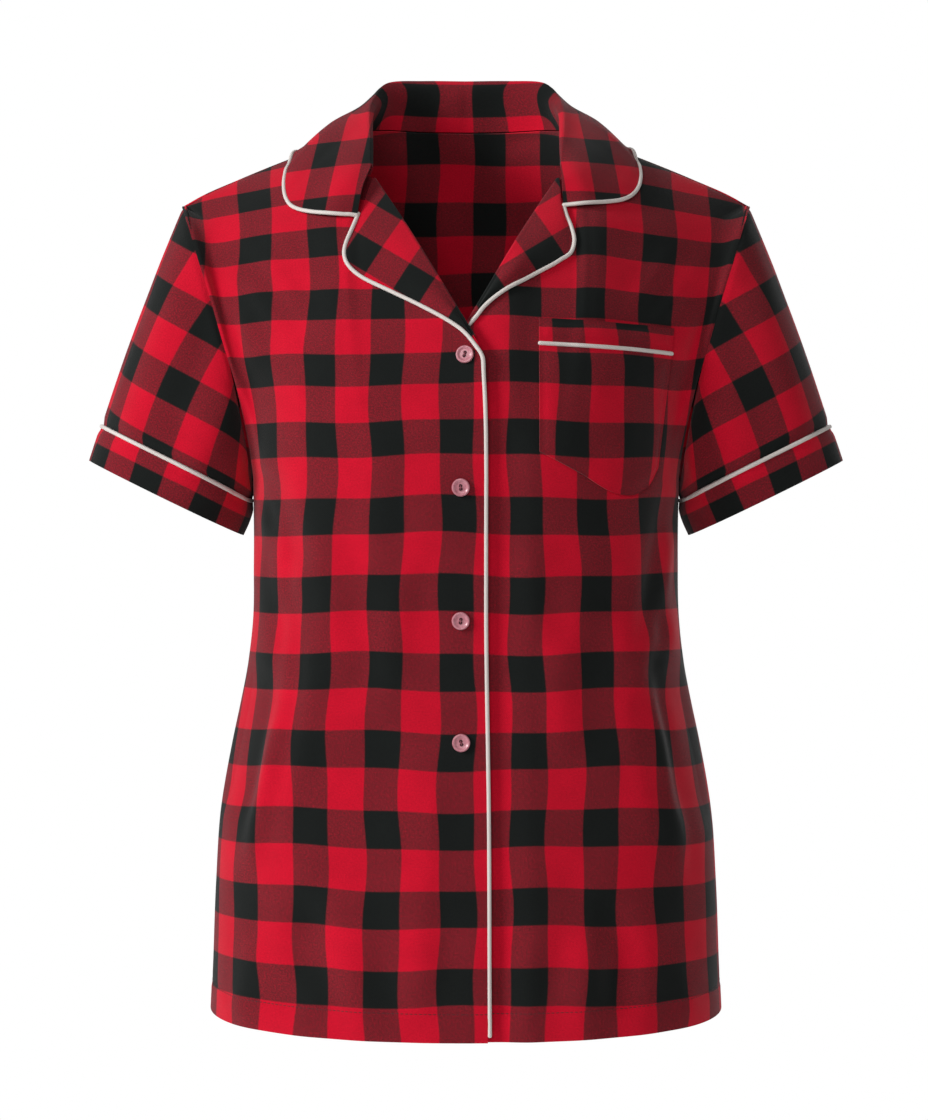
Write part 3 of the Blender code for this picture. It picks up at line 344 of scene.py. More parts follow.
COLLAR_LEAF_CHECK = {
    # across: constant, by x, by z; along: the same
    -1: ((-4.610, -26.7, 4.5), (0.409, 1.0, -21.8)),
    1: ((3.352, -25.0, -3.4), (0.345, -0.1, -22.6)),
}
COLLAR_NAPE_CHECK = ((0.0201, 0.0585), (0.0245, 0.0555))
COLLAR_LEAF_FROM = (0.060, 0.108)

# Folds fade in and out between these shares of their length, and die out at the panel's upper edge
# and side seam between these rises and stations
FOLD_ENDS = ((-0.05, 0.25), (0.75, 1.05))
HOLD_RISES = (0.93, 1.0)
HOLD_STATIONS = (3.75, 4.0)

# Folds: the line each follows in front view, its half width, and how far it stands out (+) or in
FRONT_FOLDS = (
    # (line of x and z), half width, height
    (((-0.153, -0.262), (-0.128, -0.318), (-0.112, -0.345)), 0.014, -0.0050),
    (((-0.118, -0.285), (-0.098, -0.358), (-0.107, -0.430), (-0.126, -0.480), (-0.150, -0.545)),
     0.020, 0.0050),
    (((-0.146, -0.400), (-0.158, -0.450), (-0.168, -0.520)), 0.018, -0.0055),
    (((-0.060, -0.430), (-0.074, -0.520), (-0.080, -0.600)), 0.026, -0.0025),
    (((0.154, -0.280), (0.140, -0.340), (0.128, -0.390)), 0.016, -0.0050),
    (((0.128, -0.330), (0.118, -0.410), (0.136, -0.470), (0.150, -0.560)), 0.021, 0.0045),
    (((0.150, -0.400), (0.158, -0.450), (0.170, -0.530)), 0.017, -0.0060),
    (((0.060, -0.440), (0.078, -0.530), (0.082, -0.610)), 0.026, -0.0025),
    (((-0.118, -0.085), (-0.112, -0.130), (-0.122, -0.180)), 0.026, -0.0035),
    (((0.120, -0.085), (0.116, -0.130), (0.124, -0.180)), 0.026, -0.0035),
    # the finer ones
    (((-0.150, -0.268), (-0.138, -0.300), (-0.132, -0.335)), 0.0060, 0.0027),
    (((-0.150, -0.300), (-0.134, -0.352), (-0.130, -0.400)), 0.0070, -0.0027),
    (((-0.134, -0.440), (-0.146, -0.500), (-0.154, -0.560)), 0.0080, 0.0031),
    (((-0.030, -0.300), (-0.052, -0.380), (-0.058, -0.450)), 0.0120, 0.0020),
    (((-0.020, -0.480), (-0.030, -0.560), (-0.026, -0.640)), 0.0120, 0.0019),
    (((-0.110, -0.560), (-0.118, -0.610), (-0.130, -0.664)), 0.0140, -0.0037),
    (((-0.150, -0.600), (-0.158, -0.640), (-0.162, -0.668)), 0.0110, 0.0027),
    (((0.152, -0.300), (0.146, -0.360), (0.150, -0.400)), 0.0060, 0.0027),
    (((0.136, -0.400), (0.148, -0.460), (0.154, -0.520)), 0.0070, -0.0027),
    (((0.100, -0.560), (0.108, -0.610), (0.118, -0.664)), 0.0140, -0.0037),
    (((0.040, -0.320), (0.060, -0.400), (0.062, -0.460)), 0.0130, 0.0019),
    (((0.148, -0.600), (0.154, -0.640), (0.160, -0.668)), 0.0110, 0.0026),
    (((-0.178, -0.110), (-0.160, -0.150), (-0.152, -0.200)), 0.0090, 0.0024),
    (((0.180, -0.110), (0.162, -0.150), (0.152, -0.200)), 0.0090, 0.0024),
)
BACK_FOLDS = (
    (((-0.150, -0.250), (-0.110, -0.320), (-0.070, -0.350)), 0.020, -0.0055),
    (((0.150, -0.245), (0.115, -0.310), (0.080, -0.345)), 0.020, -0.0055),
    (((-0.120, -0.360), (-0.104, -0.450), (-0.128, -0.560)), 0.026, 0.0050),
    (((0.125, -0.350), (0.102, -0.440), (0.122, -0.550)), 0.026, 0.0050),
    (((-0.040, -0.330), (0.000, -0.352), (0.045, -0.335)), 0.024, -0.0045),
    (((-0.030, -0.400), (-0.022, -0.500), (-0.034, -0.610)), 0.034, 0.0035),
    # the finer ones
    (((-0.152, -0.275), (-0.130, -0.330), (-0.104, -0.372)), 0.0080, 0.0025),
    (((0.150, -0.270), (0.132, -0.326), (0.108, -0.366)), 0.0080, 0.0025),
    (((-0.070, -0.330), (-0.030, -0.362), (0.012, -0.372)), 0.0090, 0.0021),
    (((0.080, -0.360), (0.046, -0.376), (0.004, -0.390)), 0.0090, -0.0020),
    (((0.044, -0.440), (0.052, -0.520), (0.046, -0.620)), 0.0180, 0.0031),
    (((-0.086, -0.470), (-0.082, -0.560), (-0.092, -0.650)), 0.0160, -0.0031),
    (((0.090, -0.500), (0.084, -0.580), (0.094, -0.655)), 0.0160, -0.0028),
    (((-0.090, -0.080), (-0.084, -0.140), (-0.094, -0.200)), 0.0200, -0.0036),
    (((0.092, -0.080), (0.086, -0.140), (0.094, -0.200)), 0.0200, -0.0034),
)

# Columns that climb to a corner of the upper edge leave a crease, which is softened across: the
# stations and their reach, how often each point is drawn to its neighbours, and the rises between
# which that fades in and out
SOFT_STATIONS = ((1.85, 0.75), (3.0, 0.60))
SOFT_TIMES = 180
SOFT_RISES = ((0.58, 0.72), (0.965, 0.995))

# How far a crease sways, as a share of the length along it
RIPPLE_BEND = 0.12

# Small uneven creases: middle (x, z), reach (x, z), heading in degrees, wavelength, height
FRONT_RIPPLES = (
    ((-0.140, -0.330), (0.016, 0.060), 12, 0.021, 0.0015),
    ((-0.138, -0.470), (0.020, 0.070), -14, 0.026, 0.0015),
    ((0.142, -0.350), (0.016, 0.060), -12, 0.022, 0.0015),
    ((0.146, -0.490), (0.018, 0.070), 12, 0.025, 0.0015),
    ((-0.080, -0.625), (0.070, 0.040), 6, 0.046, 0.0020),
    ((0.085, -0.625), (0.070, 0.040), -6, 0.044, 0.0020),
    ((-0.150, -0.140), (0.030, 0.030), 34, 0.022, 0.0010),
    ((0.152, -0.140), (0.030, 0.030), -34, 0.022, 0.0010),
    ((-0.060, -0.330), (0.040, 0.090), 10, 0.052, 0.0012),
    ((0.075, -0.400), (0.040, 0.080), -8, 0.050, 0.0012),
)
BACK_RIPPLES = (
    ((-0.120, -0.340), (0.030, 0.050), 38, 0.024, 0.0014),
    ((0.122, -0.335), (0.030, 0.050), -38, 0.024, 0.0014),
    ((0.000, -0.365), (0.060, 0.030), 84, 0.026, 0.0013),
    ((-0.080, -0.600), (0.070, 0.060), 4, 0.048, 0.0020),
    ((0.085, -0.600), (0.070, 0.060), -5, 0.046, 0.0020),
    ((0.010, -0.130), (0.090, 0.050), 8, 0.060, 0.0011),
)

# A sleeve's creases, the wearer's right (-1) and left (+1): share round it from the shoulder, the
# drift of that share down the sleeve, half width as a share, height, and the stretch it runs over
SLEEVE_FOLDS = {
    -1: (
        (0.120, 0.050, 0.040, 0.0022, (0.05, 0.95)),
        (0.215, 0.030, 0.030, -0.0020, (0.00, 0.80)),
        (0.330, -0.060, 0.034, 0.0022, (0.00, 0.90)),
        (0.430, -0.050, 0.026, -0.0018, (0.00, 1.00)),
        (0.620, 0.040, 0.036, 0.0020, (0.05, 0.95)),
        (0.740, 0.060, 0.036, -0.0022, (0.00, 0.90)),
        (0.880, -0.040, 0.034, 0.0016, (0.20, 1.00)),
        (0.020, 0.030, 0.024, -0.0010, (0.20, 1.00)),
    ),
    1: (
        (0.100, 0.060, 0.038, 0.0020, (0.10, 1.00)),
        (0.200, 0.040, 0.032, -0.0021, (0.00, 0.85)),
        (0.315, -0.050, 0.034, 0.0024, (0.00, 0.95)),
        (0.440, -0.040, 0.028, -0.0016, (0.00, 1.00)),
        (0.600, 0.050, 0.034, 0.0022, (0.00, 0.90)),
        (0.720, 0.050, 0.038, -0.0020, (0.05, 0.95)),
        (0.860, -0.030, 0.036, 0.0018, (0.10, 1.00)),
        (0.980, 0.030, 0.024, -0.0010, (0.20, 1.00)),
    ),
}

# Over which share of the sleeve a crease fades in and out; the columns and rows, as many columns as
# the panels have round the armhole; how far the cuff stands out; and the middle of the armhole
SLEEVE_FOLD_FADE = 0.2
SLEEVE_COLUMNS = 108
SLEEVE_RINGS = 64
CUFF_RINGS = 14
CUFF_PROUD = 0.0010
ARMHOLE_MIDDLE = np.array([0.1840, 0.0060, -0.1500])

# The collar: the roll's share of the way across, the share after it in which the fall comes to lie
# on the body, how far its edge is drawn in and over what width, its piping's gap over the body and
# its share of the lift over the ridge, and the corners of the body's part on which it lies
COLLAR_TOP = 0.42
COLLAR_TURNED = 0.116
COLLAR_EDGE_IN = 0.0010
COLLAR_EDGE_WIDTH = 0.010
COLLAR_PIPING_GAP = 0.0008
COLLAR_PIPING_RIDGE = 0.7
COLLAR_BODY = ((-1.0, -1.0, -0.14), (1.0, 1.0, 0.1))

# The lapels' check: its lean in degrees, the middle of a black square, x and z, and how much closer
# it is across and up
LAPEL_GRAIN = {
    -1: (-32.3, (-0.0369, -0.1335), (1.12, 1.20)),
    1: (32.7, (0.0574, -0.1130), (1.00, 1.20)),
}

# A button's turning, radius and height as shares of its radius
BUTTON_TURNING = (
    (0.02, 0.00), (0.90, 0.00), (0.98, 0.05), (1.00, 0.14), (0.985, 0.25), (0.93, 0.33),
    (0.85, 0.355), (0.76, 0.33), (0.69, 0.26), (0.62, 0.215), (0.50, 0.20), (0.02, 0.20),
)

# How far a button stands off the front, how far each is turned, in degrees, a ring's sides, and the
# least angle in degrees between faces that shows as an edge, on a button and on the other pieces
BUTTON_GAP = 0.0002
BUTTON_TILTS = (14, -6, 9, -12)
BUTTON_SIDES = 48
BUTTON_EDGE_ANGLE = 38
EDGE_ANGLE = 70

# A button's holes: how far they are from its middle, and the lip's radii and heights, inwards;
# from the third ring in, they carry painted shade in place of an opening
HOLE_OFF = 0.00120
HOLE_LIP = (
    (0.00150, 0.00002), (0.00140, 0.00018), (0.00125, 0.00014), (0.00100, 0.00003),
    (0.00002, 0.00003),
)

# The thread from hole to hole: its half length, half width and rise, its gap, its sides, and its
# rings as shares of the first three
THREAD_SIZE = np.array([HOLE_OFF + 0.0004, 0.00034, 0.00045])
THREAD_GAP = 0.0001
THREAD_SIDES = 12
THREAD_RINGS = np.array([
    (-1.00, 0.15, 0.0), (-0.96, 0.62, 0.1), (-0.80, 1.0, 0.6), (0.0, 1.1, 0.9),
    (0.80, 1.0, 0.6), (0.96, 0.62, 0.1), (1.00, 0.15, 0.0),
])

# The studio: the camera's place and half its angle in degrees; the floor's height, radius, rings
# and sides, and how far away it fades out; the lights; and how strongly the white air lights the
# shirt and shows behind it
CAMERA_PLACE = (-0.0015, -2.146, -0.330)
CAMERA_HALF_ANGLE = 11.0
FLOOR_HEIGHT = -1.20
FLOOR_RADIUS = 2.4
FLOOR_RINGS = 24
FLOOR_SIDES = 48
FLOOR_FADE = (0.9, 2.3)
LIGHTS = {
    # name: place, height it is aimed at, size, power
    "key light": ((-3.0, -1.5, 1.0), -0.30, 1.2, 100.0),
    "front light": ((-0.8, -3.4, 0.8), -0.35, 1.6, 30.0),
    "fill light": ((2.8, -1.4, 0.2), -0.35, 2.2, 8.0),
    "back light": ((1.4, 2.8, 0.7), -0.35, 1.8, 55.0),
}
AIR_STRENGTHS = (0.16, 1.0)


def cubic(t, start, leaving, end, arriving):
    """The cubic from start to end, with the slopes it has as it leaves and arrives."""
    first = (1 + 2 * t) * (1 - t) ** 2 * start + t * (1 - t) ** 2 * leaving
    return first + (t * t * (3 - 2 * t) * end + t * t * (t - 1) * arriving)


def smooth(at, knots, values):
    """A cubic through the values, whose slope at each knot comes from its two neighbours."""
    knots, values = np.asarray(knots, float), np.asarray(values, float)
    slopes = np.gradient(values, knots, axis=0)
    at = np.clip(np.asarray(at, float), knots[0], knots[-1])
    i = np.clip(np.searchsorted(knots, at, side="right") - 1, 0, len(knots) - 2)
    step = knots[i + 1] - knots[i]
    shape = at.shape + (1,) * (values.ndim - 1)
    t, step = ((at - knots[i]) / step).reshape(shape), step.reshape(shape)
    return cubic(t, values[i], step * slopes[i], values[i + 1], step * slopes[i + 1])


def lengths_along(points):
    """The length along the points up to each of them, in straight steps."""
    return np.concatenate([[0.0], np.cumsum(np.linalg.norm(np.diff(points, axis=0), axis=1))])


def path_knots(points):
    """Each point's share of the way along the points."""
    total = lengths_along(points)
    return total / total[-1]


def along(points, share):
    """The smooth curve through the points, at shares of its length."""
    return smooth(share, path_knots(points), points)


def unit(vectors):
    """The vectors at length one."""
    return vectors / np.maximum(np.linalg.norm(vectors, axis=-1, keepdims=True), 1e-12)


def ease(value, low, high):
    """0 below low, 1 above high, and a smooth step between."""
    t = np.clip((value - low) / (high - low), 0, 1)
    return t * t * (3 - 2 * t)


def between(value, opening, closing):
    """0, rising to 1 within the opening, and falling back to 0 within the closing."""
    return ease(value, *opening) * (1 - ease(value, *closing))


def bell(distance, width):
    """1 at no distance, and smoothly less away from there: e to minus the squared share."""
    return np.exp(-((distance / width) ** 2))


def closed(grid):
    """The grid with its first column once more after its last."""
    return np.concatenate([grid, grid[:, :1]], axis=1)


def quads(grid):
    """The four corners of each cell of a grid, in turn."""
    return np.stack([grid[:-1, :-1], grid[:-1, 1:], grid[1:, 1:], grid[1:, :-1]], axis=2)


def grid_normals(points):
    """Unit normals of a grid of rows and columns, by the cross product of its two directions."""
    return unit(np.cross(np.gradient(points, axis=1), np.gradient(points, axis=0)))


def ring_normals(points):
    """Outward normals of a grid whose columns close into a ring."""
    return grid_normals(np.concatenate([points[:, -1:], points, points[:, :1]], axis=1))[:, 1:-1]


def running_length(points, axis, parts=(0, 1, 2)):
    """Lengths along a grid's rows or columns, of the named parts of its steps."""
    steps = np.diff(points[..., list(parts)], axis=axis)
    total = np.cumsum(np.linalg.norm(steps, axis=-1), axis=axis)
    return np.concatenate([np.zeros_like(np.take(total, [0], axis=axis)), total], axis=axis)


def crossing(values, level, *grids):
    """The grids where each column of rising values passes a level, between its two nearest rows."""
    row = (values < level - 1e-9).sum(axis=0).clip(1, len(values) - 1)
    column = np.arange(values.shape[1])
    low, high = values[row - 1, column], values[row, column]
    share = (level - low) / (high - low)
    shares = [share.reshape(share.shape + (1,) * (grid.ndim - 2)) for grid in grids]
    return [grid[row - 1, column] * (1 - part) + grid[row, column] * part
            for grid, part in zip(grids, shares)]


def section_point(side, share, height):
    """A point of the level section, a superellipse: share 0 in the middle and 1 at the side seam.

    The shares are of the section's length at the armpit.
    """
    power = 2 / SECTION_POWER
    angle = np.linspace(0, np.pi / 2, SECTION_STEPS)
    half_width, depth = SECTIONS[-1, 1:3]
    outline = np.stack([half_width * np.sin(angle) ** power, depth * np.cos(angle) ** power], axis=1)
    angle = np.interp(np.abs(share), path_knots(outline), angle)
    size = smooth(height, SECTIONS[:, 0], SECTIONS[:, 1:])
    depth = -size[..., 1] if side == "front" else size[..., 2]
    x = np.sign(share) * size[..., 0] * np.sin(angle) ** power
    y = depth * np.clip(np.cos(angle), 0, 1) ** power
    return np.stack([x, y, height * np.ones_like(x)], axis=-1)


def armhole_loop(share):
    """The armhole seam: 0 at the shoulder, down the front to 0.5 at the armpit, up the back."""
    front, back = ARMHOLE[:, [1, 2, 0]], ARMHOLE[::-1][:, [1, 3, 0]]
    knots = np.concatenate([path_knots(front) / 2, 0.5 + path_knots(back)[1:] / 2])
    ring = np.concatenate([front, back[1:]])
    knots = np.concatenate([knots[-3:-1] - 1, knots, knots[1:3] + 1])
    ring = np.concatenate([ring[-3:-1], ring, ring[1:3]])
    return smooth(share, knots, ring)


def upper_edge(side, station):
    """The point of a panel's upper edge at each station."""
    point = np.zeros(station.shape + (3,))
    for start, line in enumerate((ROLL_LINE, PANELS[side]["neck"], SHOULDER)):
        here = (station >= start) & (station < start + 1)
        point[here] = along(line, station[here] - start)
    here = station >= 3
    down = (station[here] - 3) / 2
    point[here] = armhole_loop(down if side == "front" else 1 - down)
    return point


def panel_points(side, station, rise):
    """Points of a torso panel: rise 0 at the hem and 1 at the upper edge.

    A column climbs through the level sections to the armpit's height, and from there on a cubic.
    """
    panel = PANELS[side]
    share = np.interp(station, panel["base"][:, 0], panel["base"][:, 1])
    top = upper_edge(side, station)
    base = section_point(side, share, np.full_like(station, ARMPIT_Z))
    arrival = smooth(station, panel["arrival"][:, 0], panel["arrival"][:, 1:])
    hem = panel["hem"] + HEM_SIDE_RISE * share ** 2
    lower = ARMPIT_Z - hem
    upper = np.maximum(np.linalg.norm(top - base, axis=-1), 1e-6)
    climbed = rise[:, None] * (lower + upper)
    height = np.minimum(hem + climbed, ARMPIT_Z)
    below = section_point(side, np.broadcast_to(share, height.shape), height)
    t = np.clip((climbed - lower) / upper, 0, 1)[..., None]
    reach = upper[:, None]
    above = cubic(t, base, reach * np.array([0.0, 0.0, 1.0]), top, reach * arrival)
    return np.where(t > 0, above, below)


def eased(length, start, share):
    """The extra length past a start: a share of what lies past it, with a rounded beginning."""
    past = length - start
    return share * (np.hypot(past, EASED_ROUND) + past) / 2


def panel_grain(side, station, points):
    """Lengths on a panel's cloth: across from the middle, and up from the level of the armpit.

    Below the armpit the length across is the level section's. Above it a point lies as far from
    its column's foot as it does in x. The length up is that of the column, sideways moves left out.
    """
    base = PANELS[side]["base"]
    share = np.interp(station, base[:, 0], base[:, 1])
    heights = np.linspace(SECTIONS[0, 0], ARMPIT_Z, 24)
    level = np.broadcast_arrays(np.linspace(0, 1, 80)[None, :], heights[:, None])
    quarter = np.linalg.norm(np.diff(section_point(side, *level), axis=1), axis=2).sum(axis=1)
    foot = section_point(side, share, np.full(share.shape, ARMPIT_Z))
    x, z = points[..., 0], points[..., 2]
    over = np.where(z > ARMPIT_Z, x - foot[:, 0], 0.0)
    across = share * np.interp(np.minimum(z, ARMPIT_Z), heights, quarter) + over
    up = running_length(points, 0, (1, 2))
    up = up - crossing(z, ARMPIT_Z, up)[0]
    if side == "front":
        up = up + eased(up, *EASED_UP_CHEST)
        across = across + eased(across, *EASED_TO_SIDE)
    return np.stack([across, up], axis=-1)


def wander(points, grain):
    """The grain, drawn a millimetre or so off true by wear and washing: sums of long sine waves."""
    x, z = points[..., 0], points[..., 2]
    off = [
        sum(height * np.sin(2 * np.pi * (x / length_x + z / length_z) + phase)
            for height, length_x, length_z, phase in waves)
        for waves in WANDER
    ]
    return grain + np.stack(off, axis=-1)


def distance_to_line(x, z, line):
    """The distance to a bent line in front view, and the share of the way along it."""
    knots = path_knots(line)
    best, where = np.full(x.shape, np.inf), np.zeros(x.shape)
    for (ax, az), (bx, bz), low, high in zip(line[:-1], line[1:], knots[:-1], knots[1:]):
        dx, dz = bx - ax, bz - az
        t = np.clip(((x - ax) * dx + (z - az) * dz) / (dx * dx + dz * dz), 0, 1)
        gap = np.hypot(x - ax - t * dx, z - az - t * dz)
        where = np.where(gap < best, low + t * (high - low), where)
        best = np.minimum(gap, best)
    return best, where


def fold_height(points, folds):
    """How far the folds lift the cloth: a soft hump across each line, fading at its ends."""
    x, z = points[..., 0], points[..., 2]
    lift = np.zeros(x.shape)
    for line, half_width, height in folds:
        gap, where = distance_to_line(x, z, line)
        lift += height * between(where, *FOLD_ENDS) * bell(gap, half_width)
    return lift


def ripples(points, waves):
    """Soft uneven creases: sine waves in front view, each inside a bell round its own middle."""
    lift = np.zeros(points.shape[:-1])
    for (middle_x, middle_z), (reach_x, reach_z), heading, length, height in waves:
        turn = np.radians(heading)
        off_x, off_z = points[..., 0] - middle_x, points[..., 2] - middle_z
        across = off_x * np.cos(turn) + off_z * np.sin(turn)
        down = off_z * np.cos(turn) - off_x * np.sin(turn)
        bent = across + RIPPLE_BEND * down * np.sin(down * 14 + middle_x * 40)
        wave = np.cos(2 * np.pi * bent / length)
        lift += height * bell(across, reach_x) * bell(down, reach_z) * wave
    return lift


def seam_groove(points):
    """How far a panel sinks beside its upper and side seams: a bell across each, a stitch line wide."""
    up, across = running_length(points, 0), running_length(points, 1)
    sink = bell(up[-1:] - up, GROOVE_WIDTH) + bell(across[:, -1:] - across, GROOVE_WIDTH)
    return GROOVE_DEPTH * np.minimum(sink, 1)


def hem_relief(points):
    """The turned hem stands a little proud up to its stitch line, which is drawn in."""
    up = running_length(points, 0)
    turned = 1 - ease(up, HEM_STITCH - HEM_STEP, HEM_STITCH)
    return HEM_PROUD * turned - STITCH_SINK * bell(up - HEM_STITCH, STITCH_WIDTH)


def softened(points, station, rise):
    """The panel without the creases that run down from the neck point and the shoulder point."""
    smoothed = points.copy()
    for _ in range(SOFT_TIMES):
        smoothed[:, 1:-1] = (smoothed[:, :-2] + 2 * smoothed[:, 1:-1] + smoothed[:, 2:]) / 4
    across = [1 - ease(np.abs(station - middle), reach / 2, reach) for middle, reach in SOFT_STATIONS]
    share = between(rise, *SOFT_RISES)[:, None] * np.max(across, axis=0)[None, :]
    return points + (smoothed - points) * share[..., None]


def panel_sheet(side):
    """A panel's stations, points, grain, and where its folds may be, on the wearer's left half.

    The rows lie closer together towards the upper edge. Folds die out at the side and upper seams.
    """
    counts = PANELS[side]["counts"]
    spans = [start + np.arange(count) / count for start, count in enumerate(counts) if count]
    station = np.concatenate(spans + [[4.0]])
    even = np.linspace(0, 1, PANEL_ROWS)
    rise = even * (1 + TOP_CROWDING * (1 - even))
    points = softened(panel_points(side, station, rise), station, rise)
    hold = (1 - ease(rise, *HOLD_RISES))[:, None] * (1 - ease(station, *HOLD_STATIONS))[None, :]
    return station, points, panel_grain(side, station, points), hold


def front_sheet(hand):
    """Points, normals and grain of one front, hand -1 on the wearer's right and +1 left."""
    station, points, grain, hold = panel_sheet("front")
    normals = grid_normals(points)
    if hand > 0:
        upper = ease(points[..., 2], *LAP_SINK_RISE)
        sink = LAP_SINK + (LAP_SINK_MORE - LAP_TILT * points[..., 0]) * upper
        points[..., 1] += sink * (1 - ease(points[..., 0], *LAP_SINK_ENDS))
    side = np.array([hand, 1.0, 1.0])
    lift = (fold_height(points * side, FRONT_FOLDS) + ripples(points * side, FRONT_RIPPLES)) * hold
    lift += hem_relief(points) - seam_groove(points) * (station >= 2)
    points = (points + normals * lift[..., None]) * side
    return points, grid_normals(points) * hand, wander(points, grain * side[:2])


def back_sheet():
    """Points, normals and grain of the whole back."""
    def whole(half, side=1.0):
        """The left half's columns, after the same ones mirrored."""
        return np.concatenate([half[:, :0:-1] * side, half], axis=1)
    _, half, grain, hold = panel_sheet("back")
    full = whole(half, MIRROR)
    lift = (fold_height(full, BACK_FOLDS) + ripples(full, BACK_RIPPLES)) * whole(hold)
    lift -= whole(seam_groove(half) - hem_relief(half))
    full = full - grid_normals(full) * lift[..., None]
    return full, -grid_normals(full), wander(full, whole(grain, MIRROR[:2]))


def sleeve_points(share, reach, hand):
    """Points of a sleeve: share round it from the shoulder, reach 0 at the armhole to 1 at the cuff.

    A straight line from the armhole to the cuff's ellipse, bowed out in the middle, with the folds
    that run down from the shoulder and round the underarm.
    """
    middle, outer = np.array(CUFF_MIDDLE), np.array(CUFF_OUTER)
    angle = (2 * np.pi * share)[:, None]
    forward = np.array([0, -CUFF_HALF_DEPTH, 0])
    ring = middle + np.cos(angle) * (outer - middle) + np.sin(angle) * forward
    away = unit(ring - middle)
    least, most = SLEEVE_BULGE
    bulge = least + (most - least) * np.sin(angle) ** 2
    t = reach[..., None]
    body = (1 - t) * armhole_loop(share) + t * ring + np.sin(np.pi * t) * bulge * away
    fold = np.zeros(reach.shape)
    for at, drift, width, height, (start, end) in SLEEVE_FOLDS[hand]:
        gap = (share - at - drift * reach + 0.5) % 1.0 - 0.5
        ends = (start, start + SLEEVE_FOLD_FADE), (end - SLEEVE_FOLD_FADE, end)
        fold = fold + height * between(reach, *ends) * bell(gap, width)
    return body + fold[..., None] * away


def outside_edge(edge, beside, normals, off=PIPING_RADIUS):
    """The piping's path: off an edge, square to it in the surface, at half the cloth's thickness.

    The points beside the edge lie on the other side of it.
    """
    square = unit(np.cross(np.gradient(edge, axis=0), normals))
    outward = -square * np.sign(np.sum(square * (beside - edge)))
    return edge + off * outward - CLOTH / 2 * normals


def finished(name, points, faces, corner_map=None, sharp=EDGE_ANGLE):
    """A smooth-shaded object from points and faces, its normals outward, its unused points gone."""
    mesh = bpy.data.meshes.new(name)
    mesh.from_pydata(points.tolist(), [], faces if isinstance(faces, list) else faces.tolist())
    if corner_map is not None:
        layer = mesh.uv_layers.new(name="check")
        layer.data.foreach_set("uv", corner_map.ravel().astype(np.float32))
    work = bmesh.new()
    work.from_mesh(mesh)
    loose = [corner for corner in work.verts if not corner.link_faces]
    bmesh.ops.delete(work, geom=loose, context="VERTS")
    bmesh.ops.recalc_face_normals(work, faces=work.faces)
    work.to_mesh(mesh)
    work.free()
    mesh.shade_smooth()
    mesh.set_sharp_from_angle(angle=np.radians(sharp))
    piece = bpy.data.objects.new(name, mesh)
    bpy.context.scene.collection.objects.link(piece)
    return piece


def give(piece, materials, node=None):
    """The piece's materials, the body it rides on, and the solid it stands for, if any."""
    for material in materials:
        piece.data.materials.append(material)
    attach(piece, "root")
    if node:
        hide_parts(node)


def sew_cloth(flannel, node, outer, normals, grain, thickness=CLOTH, ring=False):
    """A shell of two layers on a grid: the outer points, and the same moved in along the normals.

    A plain strip joins the layers round the rim. A ring's last column joins its first. The check
    map carries the grain in metres.
    """
    if ring:
        outer, normals = closed(outer), closed(normals)
    count = outer.shape[0] * outer.shape[1]
    cells = np.arange(count).reshape(outer.shape[:2])
    at = closed(cells[:, :-1]) if ring else cells
    rims = [np.concatenate([at[0, :-1], at[:-1, -1], at[-1, :0:-1], at[:0:-1, 0]])]
    if ring:
        rims = [at[0, :-1], at[-1, :0:-1]]
    strips = [np.stack([np.roll(rim, -1), rim, rim + count, np.roll(rim, -1) + count], axis=-1)
              for rim in rims]
    face, plain = quads(at).reshape(-1, 4), quads(cells).reshape(-1, 4)
    faces = np.concatenate([face, face[:, ::-1] + count] + strips)
    corners = np.concatenate([plain, plain[:, ::-1]] + [strip % count for strip in strips])
    points = np.concatenate([outer.reshape(-1, 3), (outer - thickness * normals).reshape(-1, 3)])
    check = (grain - np.array(CHECK_AT.get(node, (0.0, 0.0)))).reshape(-1, 2)
    piece = finished(f"{node}_cloth", points, faces, check[corners.reshape(-1)])
    give(piece, [flannel], node)


def even_path(path, ring=False):
    """The path with points at even steps, on the smooth curve through the given ones."""
    path = np.concatenate([path, path[:1]]) if ring else path
    count = max(int(lengths_along(path)[-1] / PIPING_STEP), 4)
    return along(path, np.linspace(0, 1, count + 1)[:count if ring else None])


def rounded_path(path, reach):
    """The path with its corners rounded: each point is a mean of the path over a bell that wide.

    The bell narrows to nothing at the two ends, which stay where they are.
    """
    length = lengths_along(path)
    width = np.minimum(reach, np.minimum(length, length[-1] - length) / 2) + 1e-6
    weights = bell(length[:, None] - length, width[:, None])
    return weights @ path / weights.sum(axis=1, keepdims=True)


